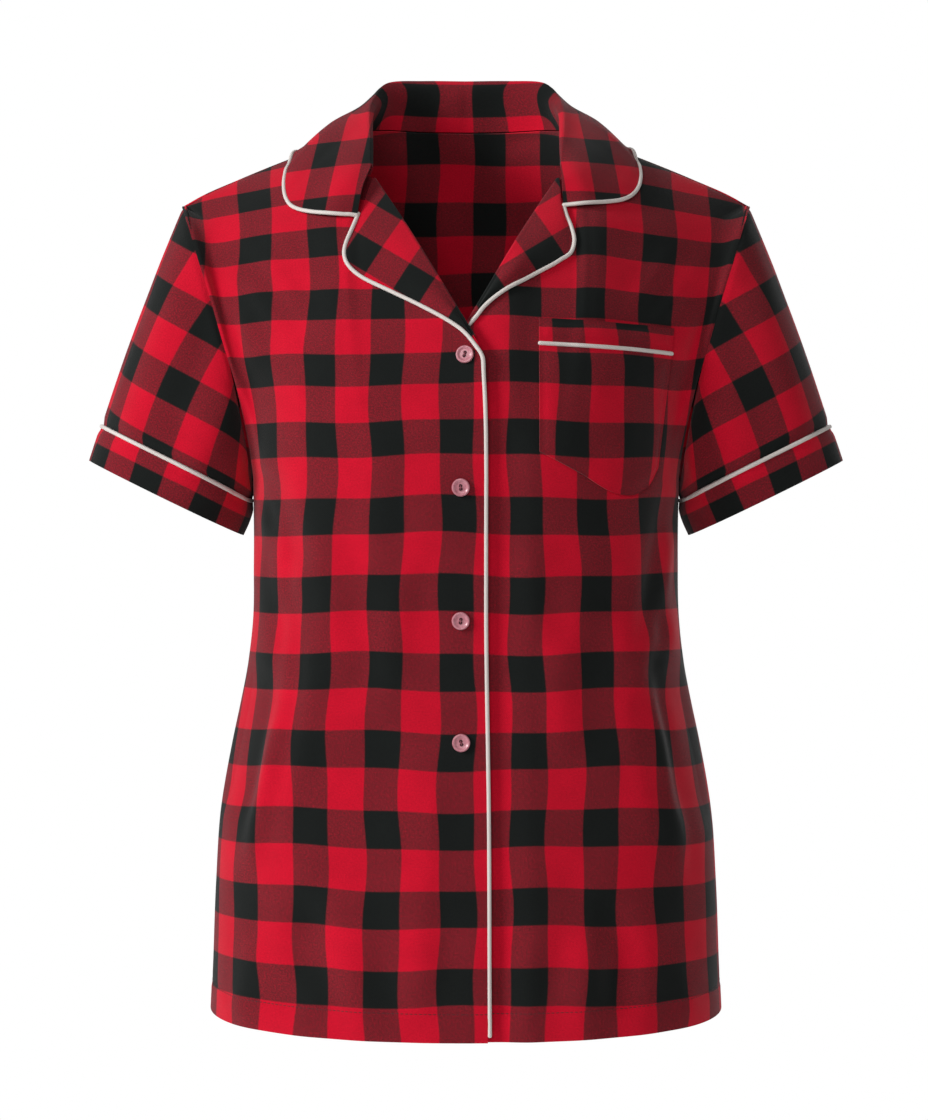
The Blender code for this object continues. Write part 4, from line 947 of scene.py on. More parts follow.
def sew_piping(tape, node, path, ring=False, rounded=0.0):
    """A round tube: a circle carried along the path, closed on itself or with domed ends.

    The tape's own map holds the length along it and the length round it.
    """
    path = even_path(path, ring)
    if rounded:
        path = rounded_path(path, rounded)
    rolled = np.roll(path, -1, axis=0) - np.roll(path, 1, axis=0)
    ahead = unit(rolled if ring else np.gradient(path, axis=0))
    side = unit(np.cross(ahead, np.array([0.31, 0.22, 0.93])))
    up = np.cross(ahead, side)
    wide = np.full(len(path), PIPING_RADIUS)
    if not ring:
        out, narrow = PIPING_RADIUS * np.array(PIPING_DOME)
        path = np.concatenate([path[:1] - ahead[:1] * out, path, path[-1:] + ahead[-1:] * out])
        side, up = (np.pad(part, ((1, 1), (0, 0)), mode="edge") for part in (side, up))
        wide = np.concatenate([[narrow], wide, [narrow]])
    angle = np.linspace(0, 2 * np.pi, PIPING_SIDES, endpoint=False)[:, None]
    around = side[:, None] * np.cos(angle) + up[:, None] * np.sin(angle)
    points = path[:, None] + wide[:, None, None] * around
    at = closed(np.arange(len(path) * PIPING_SIDES).reshape(-1, PIPING_SIDES))
    length = lengths_along(np.concatenate([path, path[:1]]) if ring else path)
    girth = np.linspace(0, 2 * np.pi * PIPING_RADIUS, PIPING_SIDES + 1)
    corner_map = quads(np.stack(np.meshgrid(length, girth, indexing="ij"), axis=-1)).reshape(-1, 2)
    faces = quads(np.concatenate([at, at[:1]]) if ring else at).reshape(-1, 4).tolist()
    if not ring:
        faces += [at[0, -2::-1].tolist(), at[-1, :-1].tolist()]
        corner_map = np.concatenate([corner_map, np.zeros((2 * PIPING_SIDES, 2))])
    cord = finished(f"{node}_cord", points.reshape(-1, 3), faces, corner_map)
    give(cord, [tape], node)


def stitch_hem(thread, panel, points, normals):
    """The hem's row of stitches, a bead with domed ends for each, half sunk in the cloth."""
    path, out = crossing(running_length(points, 0), HEM_STITCH, points, normals)
    out, total = unit(out), lengths_along(path)
    starts = np.arange(0, total[-1] - STITCH_LENGTH, STITCH_PITCH)
    at = starts[:, None] + STITCH_RINGS[:, 0] * STITCH_LENGTH
    centre, out = (np.stack([np.interp(at, total, grid[:, axis]) for axis in range(3)], axis=-1)
                   for grid in (path, out))
    out = unit(out)
    side = unit(np.cross(unit(centre[:, -1:] - centre[:, :1]), out))
    angle = np.linspace(0, 2 * np.pi, STITCH_SIDES, endpoint=False)[:, None]
    spoke = side[:, :, None] * np.cos(angle) + out[:, :, None] * np.sin(angle)
    wide = STITCH_RADIUS * STITCH_RINGS[:, 1, None, None]
    points = (centre - out * STITCH_SUNK)[:, :, None] + spoke * wide
    index = np.arange(points.size // 3).reshape(points.shape[:3])
    turned = np.roll(index, -1, axis=2)
    sides = np.stack([index[:, :-1], turned[:, :-1], turned[:, 1:], index[:, 1:]], axis=-1)
    ends = np.concatenate([index[:, 0, ::-1], index[:, -1]])
    halves = np.concatenate([ends[:, [0, 1, 2, 3]], ends[:, [0, 3, 4, 5]]])
    faces = np.concatenate([sides.reshape(-1, 4), halves])
    give(finished(f"hem_stitches_{panel}", points.reshape(-1, 3), faces), [thread])


def linear(hex_colour):
    """An sRGB hex colour as linear red, green, blue and alpha."""
    values = np.array([int(hex_colour[i:i + 2], 16) for i in (1, 3, 5)]) / 255
    values = np.where(values <= 0.04045, values / 12.92, ((values + 0.055) / 1.055) ** 2.4)
    return (*(float(value) for value in values), 1.0)


def add(tree, kind, inputs=(), out=0, **settings):
    """Adds a node with its settings, sets or links its inputs, and returns the output asked for."""
    made = tree.nodes.new("ShaderNode" + kind)
    for name, value in settings.items():
        setattr(made, name, value)
    for socket, value in inputs.items() if isinstance(inputs, dict) else enumerate(inputs):
        if isinstance(value, bpy.types.NodeSocket):
            tree.links.new(value, made.inputs[socket])
        else:
            made.inputs[socket].default_value = value
    return made.outputs[out]


def new_material(name, roughness, **shader_values):
    """A material with one Principled shader, and its node tree and the shader's inputs."""
    material = bpy.data.materials.new(name)
    material.use_nodes = True
    shader = material.node_tree.nodes["Principled BSDF"].inputs
    shader["Roughness"].default_value = roughness
    for socket, value in shader_values.items():
        shader[socket.replace("_", " ")].default_value = value
    return material, material.node_tree, shader


def mottled(name, roughness, colours, texture, settings, out=0, **shader_values):
    """A material whose colour drifts between two, by a texture in the object's own coordinates."""
    material, tree, shader = new_material(name, roughness, **shader_values)
    place = add(tree, "TexCoord", out="Object")
    drift = add(tree, texture, {"Vector": place, **settings}, out)
    colour = add(tree, "Mix", {0: drift, 6: linear(colours[0]), 7: linear(colours[1])}, 2,
                 data_type="RGBA")
    tree.links.new(colour, shader["Base Color"])
    return material


def brushed_flannel():
    """Brushed cotton flannel, yarn-dyed twill: matt, with a soft nap that pales it at the edges.

    The real twill is 0.6 mm fine; it is drawn at 1.3 mm so that it shows.
    """
    material, tree, shader = new_material(
        "brushed cotton flannel, buffalo check", 0.95,
        Sheen_Weight=0.12, Sheen_Roughness=0.5, Specular_IOR_Level=0.08,
    )
    grain = add(tree, "UVMap", uv_map="check")
    lengths = [add(tree, "SeparateXYZ", [grain], axis) for axis in "XY"]

    # How red the yarns are, across and up: 0 in a black stripe and 1 in a red one
    red = []
    for length, repeat, black in zip(lengths, CHECK_REPEAT, CHECK_BLACK):
        turns = add(tree, "Math", [length, 1 / repeat, 0.5], operation="MULTIPLY_ADD")
        part = add(tree, "Math", [turns], operation="FRACT")
        off = add(tree, "Math", [part, 0.5], operation="SUBTRACT")
        away = add(tree, "Math", [off], operation="ABSOLUTE")
        half, soft = black / repeat / 2, STRIPE_SOFTNESS / repeat
        red.append(add(tree, "MapRange", [away, half - soft, half + soft],
                       interpolation_type="SMOOTHSTEP"))
    both = add(tree, "Math", red, operation="ADD")
    share = add(tree, "Math", [both, 0.5], operation="MULTIPLY")

    # Twill lines, made uneven by the yarn, and flecks of nap
    yarn = add(tree, "TexNoise", {"Vector": grain, "Scale": 900.0, "Detail": 2.0})
    diagonal = add(tree, "Math", lengths, operation="ADD")
    phase = add(tree, "Math", [diagonal, 2 * np.pi / FLANNEL_TWILL], operation="MULTIPLY")
    wobble = add(tree, "Math", [yarn, 5.0, phase], operation="MULTIPLY_ADD")
    twill = add(tree, "Math", [wobble], operation="SINE")
    fleck = add(tree, "TexNoise", {"Vector": grain, "Scale": 800.0, "Detail": 3.0, "Roughness": 0.7})
    flecks = add(tree, "MapRange", [fleck, 0.3, 0.7, -0.55, 0.55])
    weave = add(tree, "Math", [twill, 0.30, flecks], operation="MULTIPLY_ADD")

    # The weave shows only where both yarns do: by the share of red, times the share of black
    other = add(tree, "Math", [1.0, share], operation="SUBTRACT")
    product = add(tree, "Math", [share, other], operation="MULTIPLY")
    mixed = add(tree, "Math", [product, 1.5], operation="MULTIPLY")
    blend = add(tree, "Math", [mixed, weave, share], operation="MULTIPLY_ADD")
    ramp = tree.nodes.new("ShaderNodeValToRGB")
    tree.links.new(blend, ramp.inputs["Fac"])
    ramp.color_ramp.elements.new(0.5)
    for element, colour in zip(ramp.color_ramp.elements, ("#171A19", "#761E27", "#CB0D2A")):
        element.color = linear(colour)

    # Wear in clouds a few centimetres wide, and fuzz on each yarn
    cloud = add(tree, "TexNoise", {"Vector": grain, "Scale": 38.0, "Detail": 3.0})
    worn = add(tree, "MapRange", [cloud, 0.3, 0.7, 0.93, 1.06])
    fuzz = add(tree, "MapRange", [yarn, 0.3, 0.7, 0.88, 1.12])
    tone = add(tree, "Math", [worn, fuzz], operation="MULTIPLY")
    shade = add(tree, "VectorMath", {0: ramp.outputs["Color"], "Scale": tone}, operation="SCALE")
    tree.links.new(shade, shader["Base Color"])

    relief = add(tree, "Math", [twill, 0.35, yarn], operation="MULTIPLY_ADD")
    bump = add(tree, "Bump", {"Height": relief, "Strength": 0.35, "Distance": 0.0004})
    puckers = add(tree, "Bump", {"Height": cloud, "Strength": 0.30, "Distance": 0.0012, "Normal": bump})
    tree.links.new(puckers, shader["Normal"])
    return material


def twill_tape():
    """Off-white cotton twill piping: matt, with fine slanting lines 1.2 mm apart round its cord.

    The lines are bumps, with painted shade that darkens their grooves and leaves their ridges paler.
    """
    material, tree, shader = new_material(
        "off-white cotton twill piping", 0.80, Sheen_Weight=0.10, Specular_IOR_Level=0.2)
    tape = add(tree, "UVMap", uv_map="check")
    ahead, around = (add(tree, "SeparateXYZ", [tape], axis) for axis in "XY")
    slant = add(tree, "Math", [around, 0.8, ahead], operation="MULTIPLY_ADD")
    phase = add(tree, "Math", [slant, 2 * np.pi / PIPING_TWILL], operation="MULTIPLY")
    wave = add(tree, "Math", [phase], operation="SINE")
    ridge = add(tree, "Math", [wave, 0.5, 0.5], operation="MULTIPLY_ADD")
    # Painted shade: the colour is darker in the twill's grooves and paler on its ridges, by the bump's
    # own height
    colour = add(tree, "Mix", {0: ridge, 6: linear("#D2C9C3"), 7: linear("#EFE8E3")}, 2,
                 data_type="RGBA")
    tree.links.new(colour, shader["Base Color"])
    bump = add(tree, "Bump", {"Height": ridge, "Strength": 0.5, "Distance": 0.0002})
    tree.links.new(bump, shader["Normal"])
    return material


class Cloth:
    """Outer points of finished cloth with their normals, on which other pieces are laid."""

    def __init__(self, *grids):
        self.points = np.concatenate([points.reshape(-1, 3) for points, _ in grids])
        self.normals = np.concatenate([normals.reshape(-1, 3) for _, normals in grids])

    def within(self, low, high):
        """The part of the cloth inside a box."""
        kept = np.all((self.points >= low) & (self.points <= high), axis=1)
        return Cloth((self.points[kept], self.normals[kept]))

    def blend(self, places, own, reach):
        """Means of the cloth's planes at places, weighed by a bell of distance, in blocks of rows.

        own is the cloth's points in the measure that distance uses, and reach the bell's.
        Returns the mean normal and the mean of each plane's height at the place.
        """
        heights, normals = [], []
        level = np.sum(self.points * self.normals, axis=1)
        for block in np.array_split(np.arange(len(places)), max(1, len(places) // BLEND_BLOCK)):
            at = places[block]
            square = (at ** 2).sum(axis=1)[:, None] + (own ** 2).sum(axis=1)[None] - 2 * at @ own.T
            weights = np.exp(-(square - square.min(axis=1, keepdims=True)) / reach ** 2)
            weights /= weights.sum(axis=1, keepdims=True)
            normals.append(weights @ self.normals)
            heights.append(weights @ level)
        return np.concatenate(normals), np.concatenate(heights)

    def lay(self, x, z, lift):
        """Points in front view, set on the cloth's blended planes and lifted off them."""
        flat = np.stack([np.ravel(x), np.ravel(z)], axis=1)
        (low_x, low_z), (high_x, high_z) = flat.min(axis=0) - LAY_NEAR, flat.max(axis=0) + LAY_NEAR
        near = self.within((low_x, -1.0, low_z), (high_x, 1.0, high_z))
        mean, level = near.blend(flat, near.points[:, [0, 2]], LAY_REACH)
        y = (level - mean[:, 0] * flat[:, 0] - mean[:, 2] * flat[:, 1]) / mean[:, 1]
        normals = unit(mean)
        placed = np.stack([flat[:, 0], y, flat[:, 1]], axis=1)
        placed = placed + normals * np.ravel(lift * np.ones(np.shape(x)))[:, None]
        return placed.reshape(np.shape(x) + (3,)), normals.reshape(np.shape(x) + (3,))

    def clear(self, points, lift):
        """The points, moved out where they lie less than the lift above the cloth.

        Over the shoulders they move upwards, so that they don't part along the ridge of the seam.
        """
        flat = points.reshape(-1, 3).copy()
        lift = np.ravel(lift * np.ones(points.shape[:-1]))
        near = self.within(flat.min(axis=0) - CLEAR_NEAR, flat.max(axis=0) + CLEAR_NEAR)
        for _ in range(2):
            mean, level = near.blend(flat, near.points, CLEAR_REACH)
            height = np.sum(flat * mean, axis=1) - level
            normal = unit(mean)
            push = normal.copy()
            push[:, 1] *= 1 - np.clip(normal[:, 2], 0, 1) ** 2
            push /= np.maximum(np.sum(push * normal, axis=1, keepdims=True), CLEAR_SQUARE)
            flat += push * np.clip(lift - height, 0, CLEAR_MOST)[:, None]
        return flat.reshape(points.shape)


def sleeve_check(front, along_it):
    """A sleeve's grain, from lengths round it to the front (+) or back (-) of its outer fold.

    In front the check's repeats are a curved sum of the two lengths. Behind they are even.
    """
    ahead = (np.hypot(front, SLEEVE_CHECK_ROUND) + front) / 2
    across, up = (
        constant + by_front * ahead + by_along * along_it + by_square * ahead ** 2
        + by_both * ahead * along_it
        for constant, by_front, by_along, by_square, by_both in SLEEVE_CHECK.values()
    )
    across = across + SLEEVE_BACK_CHECK * (front - ahead)
    return np.stack([across, up], axis=-1) * np.array(CHECK_REPEAT)


def sleeve_and_cuff(hand):
    """A sleeve and its cuff, each as points, outward normals and grain, and the piping's ring.

    The sleeve's grain runs round it from the outer fold and straight along its axis. The cuff
    stands a little proud of the sleeve, and its own grain follows its slanting edge.
    """
    share = (0.5 + np.arange(SLEEVE_COLUMNS) / SLEEVE_COLUMNS) % 1.0
    fold = SLEEVE_COLUMNS // 2
    whole = sleeve_points(share, np.ones((1, SLEEVE_COLUMNS)), hand)[0]
    length = np.linalg.norm(whole - armhole_loop(share), axis=1)
    seam, groove = 1 - CUFF_HEIGHT / length, PIPING_RADIUS / length

    def ring_of_cloth(low, high, rows, proud):
        """Cloth between two reaches, drawn in at its seams, and the lengths round it."""
        reach = low + np.linspace(0, 1, rows)[:, None] * (high - low)
        points = sleeve_points(share, reach, hand)
        down = running_length(points, 0)
        sink = bell(down, GROOVE_WIDTH) + (0 if proud else bell(down[-1:] - down, GROOVE_WIDTH))
        points = points + ring_normals(points) * (proud - GROOVE_DEPTH * sink)[..., None]
        around = running_length(closed(points), 1)
        return points, around - around[:, fold:fold + 1]

    sleeve, around = ring_of_cloth(0 * seam, seam - groove, SLEEVE_RINGS, 0.0)
    axis = unit(np.array(CUFF_MIDDLE) - ARMHOLE_MIDDLE)
    sleeve_grain = sleeve_check(around, -(closed(sleeve) - ARMHOLE_MIDDLE) @ axis)
    cuff, around = ring_of_cloth(seam + groove, 0 * seam + 1, CUFF_RINGS, CUFF_PROUD)
    around = around.mean(axis=0) * np.ones_like(around)
    cuff_grain = np.stack([around, -running_length(closed(cuff), 0)], axis=-1)

    side = np.array([hand, 1.0, 1.0])
    path = sleeve_points(share, seam[None, :], hand)[0]
    even, more = CUFF_PIPING_INSET
    inset = even + more * np.sin(np.pi * share) ** 12
    path = path - inset[:, None] * unit(path - np.array(CUFF_MIDDLE))
    return (
        (sleeve * side, ring_normals(sleeve) * side, sleeve_grain * np.array([-hand, 1.0])),
        (cuff * side, ring_normals(cuff) * side, cuff_grain * side[:2]),
        path * side,
    )


def collar_half(share, edge_table):
    """One half of the collar's visible face: rows from the neck seam over the roll to the edge.

    Each column is a smooth curve through its foot, the two sides of the roll, and the fall, at
    stations from the gorge to the nape. The shares are those of the rows.
    """
    station = np.linspace(COLLAR_SECTIONS[0, 0], COLLAR_SECTIONS[-1, 0], COLLAR_COLUMNS)
    table = smooth(station, COLLAR_SECTIONS[:, 0], COLLAR_SECTIONS[:, 1:])
    neck, roll = table[:, 0:3], table[:, 3:6]
    edge = smooth(station, edge_table[:, 0], edge_table[:, 1:])
    away, up = unit((edge - neck) * np.array([1.0, 1.0, 0.0])), np.array([0.0, 0.0, 1.0])
    inside = roll - COLLAR_ROLL_SIDE * (away + up)
    outside = roll + COLLAR_ROLL_SIDE * (away - up)
    middle = (outside + edge) / 2 + COLLAR_FALL_BULGE * unit(away + up)
    columns = []
    for column in np.stack([neck, inside, roll, outside, middle, edge], axis=1):
        knots = path_knots(column)
        at = np.interp(share, [0, COLLAR_TOP, 1], [0, knots[2], 1])
        columns.append(smooth(at, knots, column))
    return np.stack(columns, axis=1)


def over_shoulder(points):
    """The further lift that carries the collar over the ridge of the shoulder seam."""
    return COLLAR_RIDGE_LIFT * bell(points[..., 1] - SHOULDER_POINT[1], COLLAR_RIDGE_WIDTH)


def collar_check(share, full):
    """The collar's grain: even round the nape, and on the front of the leaf leaning with its cut.

    The length round the collar is measured on its roll. The nape's repeats run into the leaf's
    over a stretch behind the shoulder seam.
    """
    up = running_length(full, 0)
    around = running_length(full, 1)[np.argmin(np.abs(share - COLLAR_TOP))]
    around = (around - around[full.shape[1] // 2]) * np.ones_like(up)
    (start, repeat), (height, rise) = COLLAR_NAPE_CHECK
    nape = np.stack([(around - start) / repeat, (up - height) / rise], axis=-1)
    x, z = full[..., 0], full[..., 2]
    grain = nape
    for hand, table in COLLAR_LEAF_CHECK.items():
        leaf = np.stack([one + by_x * x + by_z * z for one, by_x, by_z in table], axis=-1)
        grain = grain + (leaf - nape) * ease(around * hand, *COLLAR_LEAF_FROM)[..., None]
    return grain * np.array(CHECK_REPEAT)


def collar_and_piping(body):
    """The collar's points, normals and grain, and the path of the piping along its outer edge."""
    share = np.linspace(0, 1, COLLAR_ROWS)
    right, left = collar_half(share, COLLAR_EDGE_RIGHT), collar_half(share, COLLAR_EDGE_LEFT)
    full = np.concatenate([(right * MIRROR)[:, :-1], left[:, ::-1]], axis=1)
    cleared = body.clear(full, WALL + COLLAR_LIFT + over_shoulder(full))
    full = full + (cleared - full) * np.clip((share - COLLAR_TOP) / COLLAR_TURNED, 0, 1)[:, None, None]
    normals = grid_normals(full)
    normals *= np.sign(normals[-1, full.shape[1] // 2, 1])
    edge_gap = running_length(full[::-1], 0)[::-1]
    sink = COLLAR_EDGE_IN * (1 - ease(edge_gap, 0, COLLAR_EDGE_WIDTH)) * (share > COLLAR_TOP)[:, None]
    full = full - normals * sink[..., None]
    path = outside_edge(full[-1], full[-2], normals[-1])
    lift = PIPING_RADIUS + COLLAR_PIPING_GAP + over_shoulder(path) * COLLAR_PIPING_RIDGE
    return (full, normals, collar_check(share, full)), body.clear(path, lift)


def lapel_and_piping(cloth, hand):
    """A lapel: the front's facing, rolled round the front's edge and laid on it, and its piping.

    Across it runs half a turn round the edge, whose radius grows from the foot, and then the face,
    straight from the roll to the outer edge in front view and swelled between. Returns the points,
    normals and grain, and the piping's path.
    """
    edge_table, foot = LAPEL_EDGES[hand]
    t, p = np.linspace(0, 1, LAPEL_ROWS), np.linspace(0, 1, LAPEL_COLUMNS)
    roll = along(ROLL_LINE, foot + (LAPEL_TOP_SHARE - foot) * t)
    edge = along(edge_table, t)
    flat = roll[:, None, [0, 2]] * (1 - p)[:, None] + edge[:, None] * p[:, None]
    low, high = LAPEL_BULGE_SHARES
    swell = np.sin(np.pi * (low + (high - low) * t))[:, None] * np.sin(np.pi * p)
    grow = ease(t, 0, LAPEL_GROWN_AT)[:, None]
    lift = CLOTH + LAPEL_GAP + LAPEL_GROWTH * grow + LAPEL_BULGE * swell
    face, normals = cloth.lay(hand * flat[..., 0], flat[..., 1], lift)

    first = normals[:, 0]
    outward = unit(np.cross(unit(np.gradient(face[:, 0], axis=0)), first))
    outward *= -np.sign(np.sum(outward * (face[:, 3] - face[:, 0])))
    radius = (lift[:, 0] + CLOTH / 2)[:, None, None]
    centre = (face[:, 0] - first * radius[:, 0])[:, None]
    turn = np.linspace(-np.pi / 2, np.pi / 2, LAPEL_TURN_STEPS)[:-1, None]
    wrap = centre + radius * (np.cos(turn) * outward[:, None] + np.sin(turn) * first[:, None])
    points = np.concatenate([wrap, face], axis=1)
    out = grid_normals(points)
    out *= np.sign(np.sum(out[:, -5] * first))

    lean, (middle_x, middle_z), (wide, high) = LAPEL_GRAIN[hand]
    sine, cosine = np.sin(np.radians(lean)), np.cos(np.radians(lean))
    off_x, off_z = points[..., 0] - middle_x, points[..., 2] - middle_z
    grain = np.stack([(off_x * cosine + off_z * sine) * wide, (off_z * cosine - off_x * sine) * high],
                     axis=-1)
    path = outside_edge(face[:, -1], face[:, -2], normals[:, -1])
    return (points, out, grain), cloth.clear(path, PIPING_RADIUS + LAPEL_PIPING_GAP)


def front_piping_path(points, normals, lapel_path):
    """The path of the front's piping: down the lapel's edge, and on down the front's own.

    Of the front's edge it takes every third point.
    """
    down = outside_edge(points[:, 0], points[:, 1], normals[:, 0], PIPING_RADIUS - FRONT_PIPING_PRESSED)
    down = down[::-1]
    down = down[down[:, 2] < lapel_path[0, 2] - FRONT_PIPING_JOIN]
    return np.concatenate([lapel_path[::-1], [FRONT_PIPING_TURN], down[::3]])


def pocket_pieces(cloth, front_points, front_grain):
    """The patch pocket, its top band, and the piping's path between them, on the left front.

    Rows run straight from the foot's curve to the top edge. Its check matches the front's, so each
    point takes the grain of the front under it. The middle puffs out from the sewn edges.
    """
    a = np.linspace(0, 1, POCKET_COLUMNS)[:, None]
    foot = along(POCKET_FOOT, a[:, 0])
    top = np.array(POCKET_TOP[0]) * (1 - a) + np.array(POCKET_TOP[1]) * a
    height = (top - foot)[:, 1]
    seam, groove = 1 - POCKET_BAND / height, PIPING_RADIUS * POCKET_GROOVE / height
    under, grain = front_points[..., [0, 2]].reshape(-1, 2), front_grain.reshape(-1, 2)
    middle, reach = np.array(POCKET_NEAR)
    close = np.all(np.abs(under - middle) < reach, axis=1)
    under, grain = under[close], grain[close]

    def grain_at(flat):
        """The front's grain at places in front view: a mean of its drifts from them, by nearness."""
        places = flat.reshape(-1, 2)
        gap = np.linalg.norm(places[:, None] - under, axis=2)
        weights = bell(gap, GRAIN_REACH)
        weights /= weights.sum(axis=1, keepdims=True)
        return (places + weights @ (grain - under)).reshape(flat.shape)

    pieces = {}
    stitch_at, stitch_width, stitch_depth = POCKET_STITCH
    for (node, (rows, sewn, puff)), low, high in zip(
            POCKET_PIECES.items(), (0 * seam, seam + groove), (seam - groove, 0 * seam + 1)):
        b = (low + np.linspace(0, 1, rows)[:, None] * (high - low))[..., None]
        flat = foot * (1 - b) + top * b
        down, over = running_length(flat, 0, (0, 1)), running_length(flat, 1, (0, 1))
        ends = np.minimum(np.minimum(down, down[-1:] - down), np.minimum(over, over[:, -1:] - over))
        lift = CLOTH + POCKET_GAP + puff * ease(ends, 0.0, sewn)
        lift -= bell(ends - stitch_at, stitch_width) * stitch_depth
        pieces[node] = (*cloth.lay(flat[..., 0], flat[..., 1], lift), grain_at(flat))
    line = foot * (1 - seam)[:, None] + top * seam[:, None]
    path, _ = cloth.lay(line[:, 0], line[:, 1], PIPING_RADIUS + POCKET_GAP)
    return pieces, path


def rings_round(centres, across, up, radii, sides):
    """Rings of points round a row of centres, each with its radius, and the quads between them."""
    angle = np.linspace(0, 2 * np.pi, sides, endpoint=False)[:, None]
    spokes = across * np.cos(angle) + up * np.sin(angle)
    points = centres[:, None] + radii[:, None, None] * spokes
    at = closed(np.arange(len(points) * sides).reshape(-1, sides))
    return points.reshape(-1, 3), quads(at).reshape(-1, 4)


def make_buttons(cloth, materials):
    """Four buttons: a profile turned round the normal, with two holes and a thread through them.

    The profile runs from the back over a rounded rim into a dished middle. A hole is no opening
    but a disc of painted shade in a raised lip, and the thread is a bead with domed ends from hole
    to hole.
    """
    body, lip = BUTTON_RADIUS * np.array(BUTTON_TURNING), np.array(HOLE_LIP)
    thread = THREAD_SIZE * THREAD_RINGS
    places = cloth.lay(BUTTON_PLACES[:, 0], BUTTON_PLACES[:, 1], BUTTON_GAP)
    for number, (centre, normal, tilt) in enumerate(zip(*places, np.radians(BUTTON_TILTS)), start=1):
        level = unit(np.cross(normal, np.array([0.0, 0.0, 1.0])))
        upright = np.cross(level, normal)
        upright *= np.sign(upright[2])
        across = level * np.cos(tilt) + upright * np.sin(tilt)
        up = upright * np.cos(tilt) - level * np.sin(tilt)
        parts = [(0, rings_round(centre + body[:, 1:] * normal, across, up, body[:, 0], BUTTON_SIDES))]
        floor = centre + body[-1, 1] * normal
        for way in (-1, 1):
            # Kind 1 is the hole's floor, a flat disc that takes the painted shade of the hole
            for kind, rings in ((0, lip[:3]), (1, lip[2:])):
                hole = floor + up * way * HOLE_OFF + rings[:, 1:] * normal
                parts.append((kind, rings_round(hole, across, up, rings[:, 0], BUTTON_SIDES)))
        line = floor + thread[:, :1] * up + (THREAD_GAP + thread[:, 2:]) * normal
        parts.append((2, rings_round(line, across, normal, thread[:, 1], THREAD_SIDES)))

        starts = np.cumsum([0] + [len(points) for _, (points, _) in parts])
        faces = np.concatenate([quad + start for (_, (_, quad)), start in zip(parts, starts)])
        points = np.concatenate([points for _, (points, _) in parts])
        kinds = np.concatenate([np.full(len(quad), kind) for kind, (_, quad) in parts])
        button = finished(f"button_{number}_turned", points, faces, sharp=BUTTON_EDGE_ANGLE)
        give(button, materials, f"button_{number}")
        button.data.polygons.foreach_set("material_index", kinds.tolist())


def dress_shirt():
    """Every piece of the shirt, with its material and its place among the solids."""
    flannel, tape = brushed_flannel(), twill_tape()
    # Turned pearl-effect polyester for the buttons: glossy, pale pink, with cloudy light bands
    pearl = mottled("pearly pink polyester", 0.30, ("#A8505E", "#E2A2AC"), "TexNoise",
                    {"Scale": 420.0, "Detail": 3.0, "Distortion": 1.5},
                    Coat_Weight=0.25, Coat_Roughness=0.20, IOR=1.55)
    # Spun polyester sewing thread: matt, with its ply turning across it every 0.6 mm
    seam_thread, button_thread = (
        mottled(name, 0.75, colours, "TexWave", {"Scale": 260.0, "Distortion": 2.0}, "Fac")
        for name, colours in (("dark red spun polyester thread", ("#3A1218", "#5A1820")),
                              ("pink spun polyester thread", ("#7A3440", "#A45C68")))
    )
    # The inside of a button's hole: matt, and dark with painted shade, since the hole is a disc with
    # no opening
    hole = mottled("painted shade in a button's hole", 0.8, ("#2C1216", "#4A1E28"), "TexNoise",
                   {"Scale": 300.0})
    hands = {"right": -1, "left": 1}

    panels = {f"front_{word}": front_sheet(hand) for word, hand in hands.items()}
    panels["back"] = back_sheet()
    for node, sheet in panels.items():
        sew_cloth(flannel, node, *sheet)
        stitch_hem(seam_thread, node.split("_")[-1], *sheet[:2])
    cloths = {word: Cloth(panels[f"front_{word}"][:2]) for word in hands}
    body = Cloth(*(sheet[:2] for sheet in panels.values())).within(*COLLAR_BODY)

    for word, hand in hands.items():
        sleeve, cuff, path = sleeve_and_cuff(hand)
        sew_cloth(flannel, f"sleeve_{word}", *sleeve, ring=True)
        sew_cloth(flannel, f"cuff_{word}", *cuff, DOUBLE_CLOTH, ring=True)
        sew_piping(tape, f"cuff_piping_{word}", path, ring=True)

    collar, path = collar_and_piping(body)
    sew_cloth(flannel, "collar", *collar, DOUBLE_CLOTH)
    sew_piping(tape, "collar_piping", path)

    for word, hand in hands.items():
        lapel, path = lapel_and_piping(cloths[word], hand)
        sew_cloth(flannel, f"lapel_{word}", *lapel)
        if word == "right":
            path = front_piping_path(*panels["front_right"][:2], path)
            sew_piping(tape, "front_piping", path, rounded=FRONT_TURN_REACH)
        else:
            sew_piping(tape, "lapel_piping_left", path)

    points, _, grain = panels["front_left"]
    pieces, path = pocket_pieces(cloths["left"], points, grain)
    for node, piece in pieces.items():
        sew_cloth(flannel, node, *piece)
    sew_piping(tape, "pocket_piping", path)
    make_buttons(cloths["right"], (pearl, hole, button_thread))


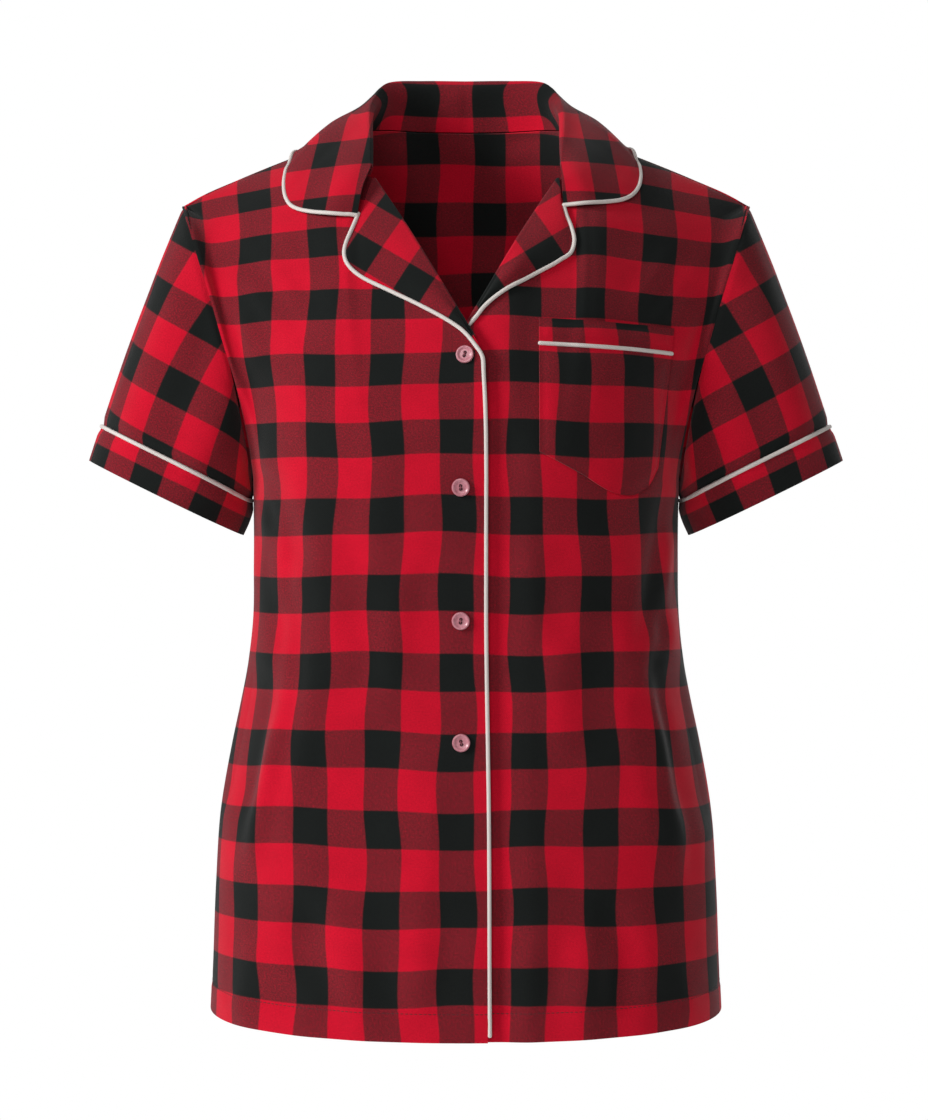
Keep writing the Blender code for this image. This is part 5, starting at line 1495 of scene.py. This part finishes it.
def studio():
    """The camera level with the shirt's middle, soft light, and a white floor that fades out."""
    scene = bpy.context.scene
    lens = bpy.data.cameras.new("camera")
    lens.sensor_width = 36.0
    lens.lens = lens.sensor_width / (2 * np.tan(np.radians(CAMERA_HALF_ANGLE)))
    lens.clip_end = 50.0
    camera = bpy.data.objects.new("camera", lens)
    camera.location = CAMERA_PLACE
    camera.rotation_euler = (np.pi / 2, 0.0, 0.0)
    scene.collection.objects.link(camera)
    scene.camera = camera

    for name, (place, aim, size, power) in LIGHTS.items():
        lamp = bpy.data.lights.new(name, "AREA")
        lamp.size = size
        lamp.energy = power
        light = bpy.data.objects.new(name, lamp)
        light.location = place
        heading = mathutils.Vector((0.0, 0.0, aim)) - mathutils.Vector(place)
        light.rotation_euler = heading.to_track_quat("-Z", "Y").to_euler()
        scene.collection.objects.link(light)

    radius, angle = np.meshgrid(np.linspace(0.001, FLOOR_RADIUS, FLOOR_RINGS),
                                np.linspace(0, 2 * np.pi, FLOOR_SIDES, endpoint=False))
    height = np.full_like(radius, FLOOR_HEIGHT)
    grid = np.stack([radius * np.sin(angle), radius * np.cos(angle), height], axis=-1)
    at = np.arange(radius.size).reshape(radius.shape)
    floor = finished("studio_floor", grid.reshape(-1, 3),
                     quads(np.concatenate([at, at[:1]])).reshape(-1, 4))
    # Matt white studio paper, which fades into the white air well away from the shirt
    paper = mottled("matt white studio paper", 0.95, ("#FBFBFB", "#FFFFFF"), "TexNoise", {"Scale": 3.0})
    tree = paper.node_tree
    place = add(tree, "TexCoord", out="Object")
    away = add(tree, "VectorMath", [place, (0.0, 0.0, FLOOR_HEIGHT)], "Value", operation="DISTANCE")
    fade = add(tree, "MapRange", [away, *FLOOR_FADE, 1.0, 0.0], interpolation_type="SMOOTHERSTEP")
    tree.links.new(fade, tree.nodes["Principled BSDF"].inputs["Alpha"])
    floor.data.materials.append(paper)

    scene.view_settings.view_transform = "Standard"
    world = bpy.data.worlds.new("studio air")
    world.use_nodes = True
    air = world.node_tree
    seen = add(air, "LightPath", out="Is Camera Ray")
    bright = add(air, "MapRange", [seen, 0.0, 1.0, *AIR_STRENGTHS])
    background = air.nodes["Background"].inputs
    air.links.new(bright, background["Strength"])
    background["Color"].default_value = (1.0, 1.0, 1.0, 1.0)
    scene.world = world


dress_shirt()
studio()
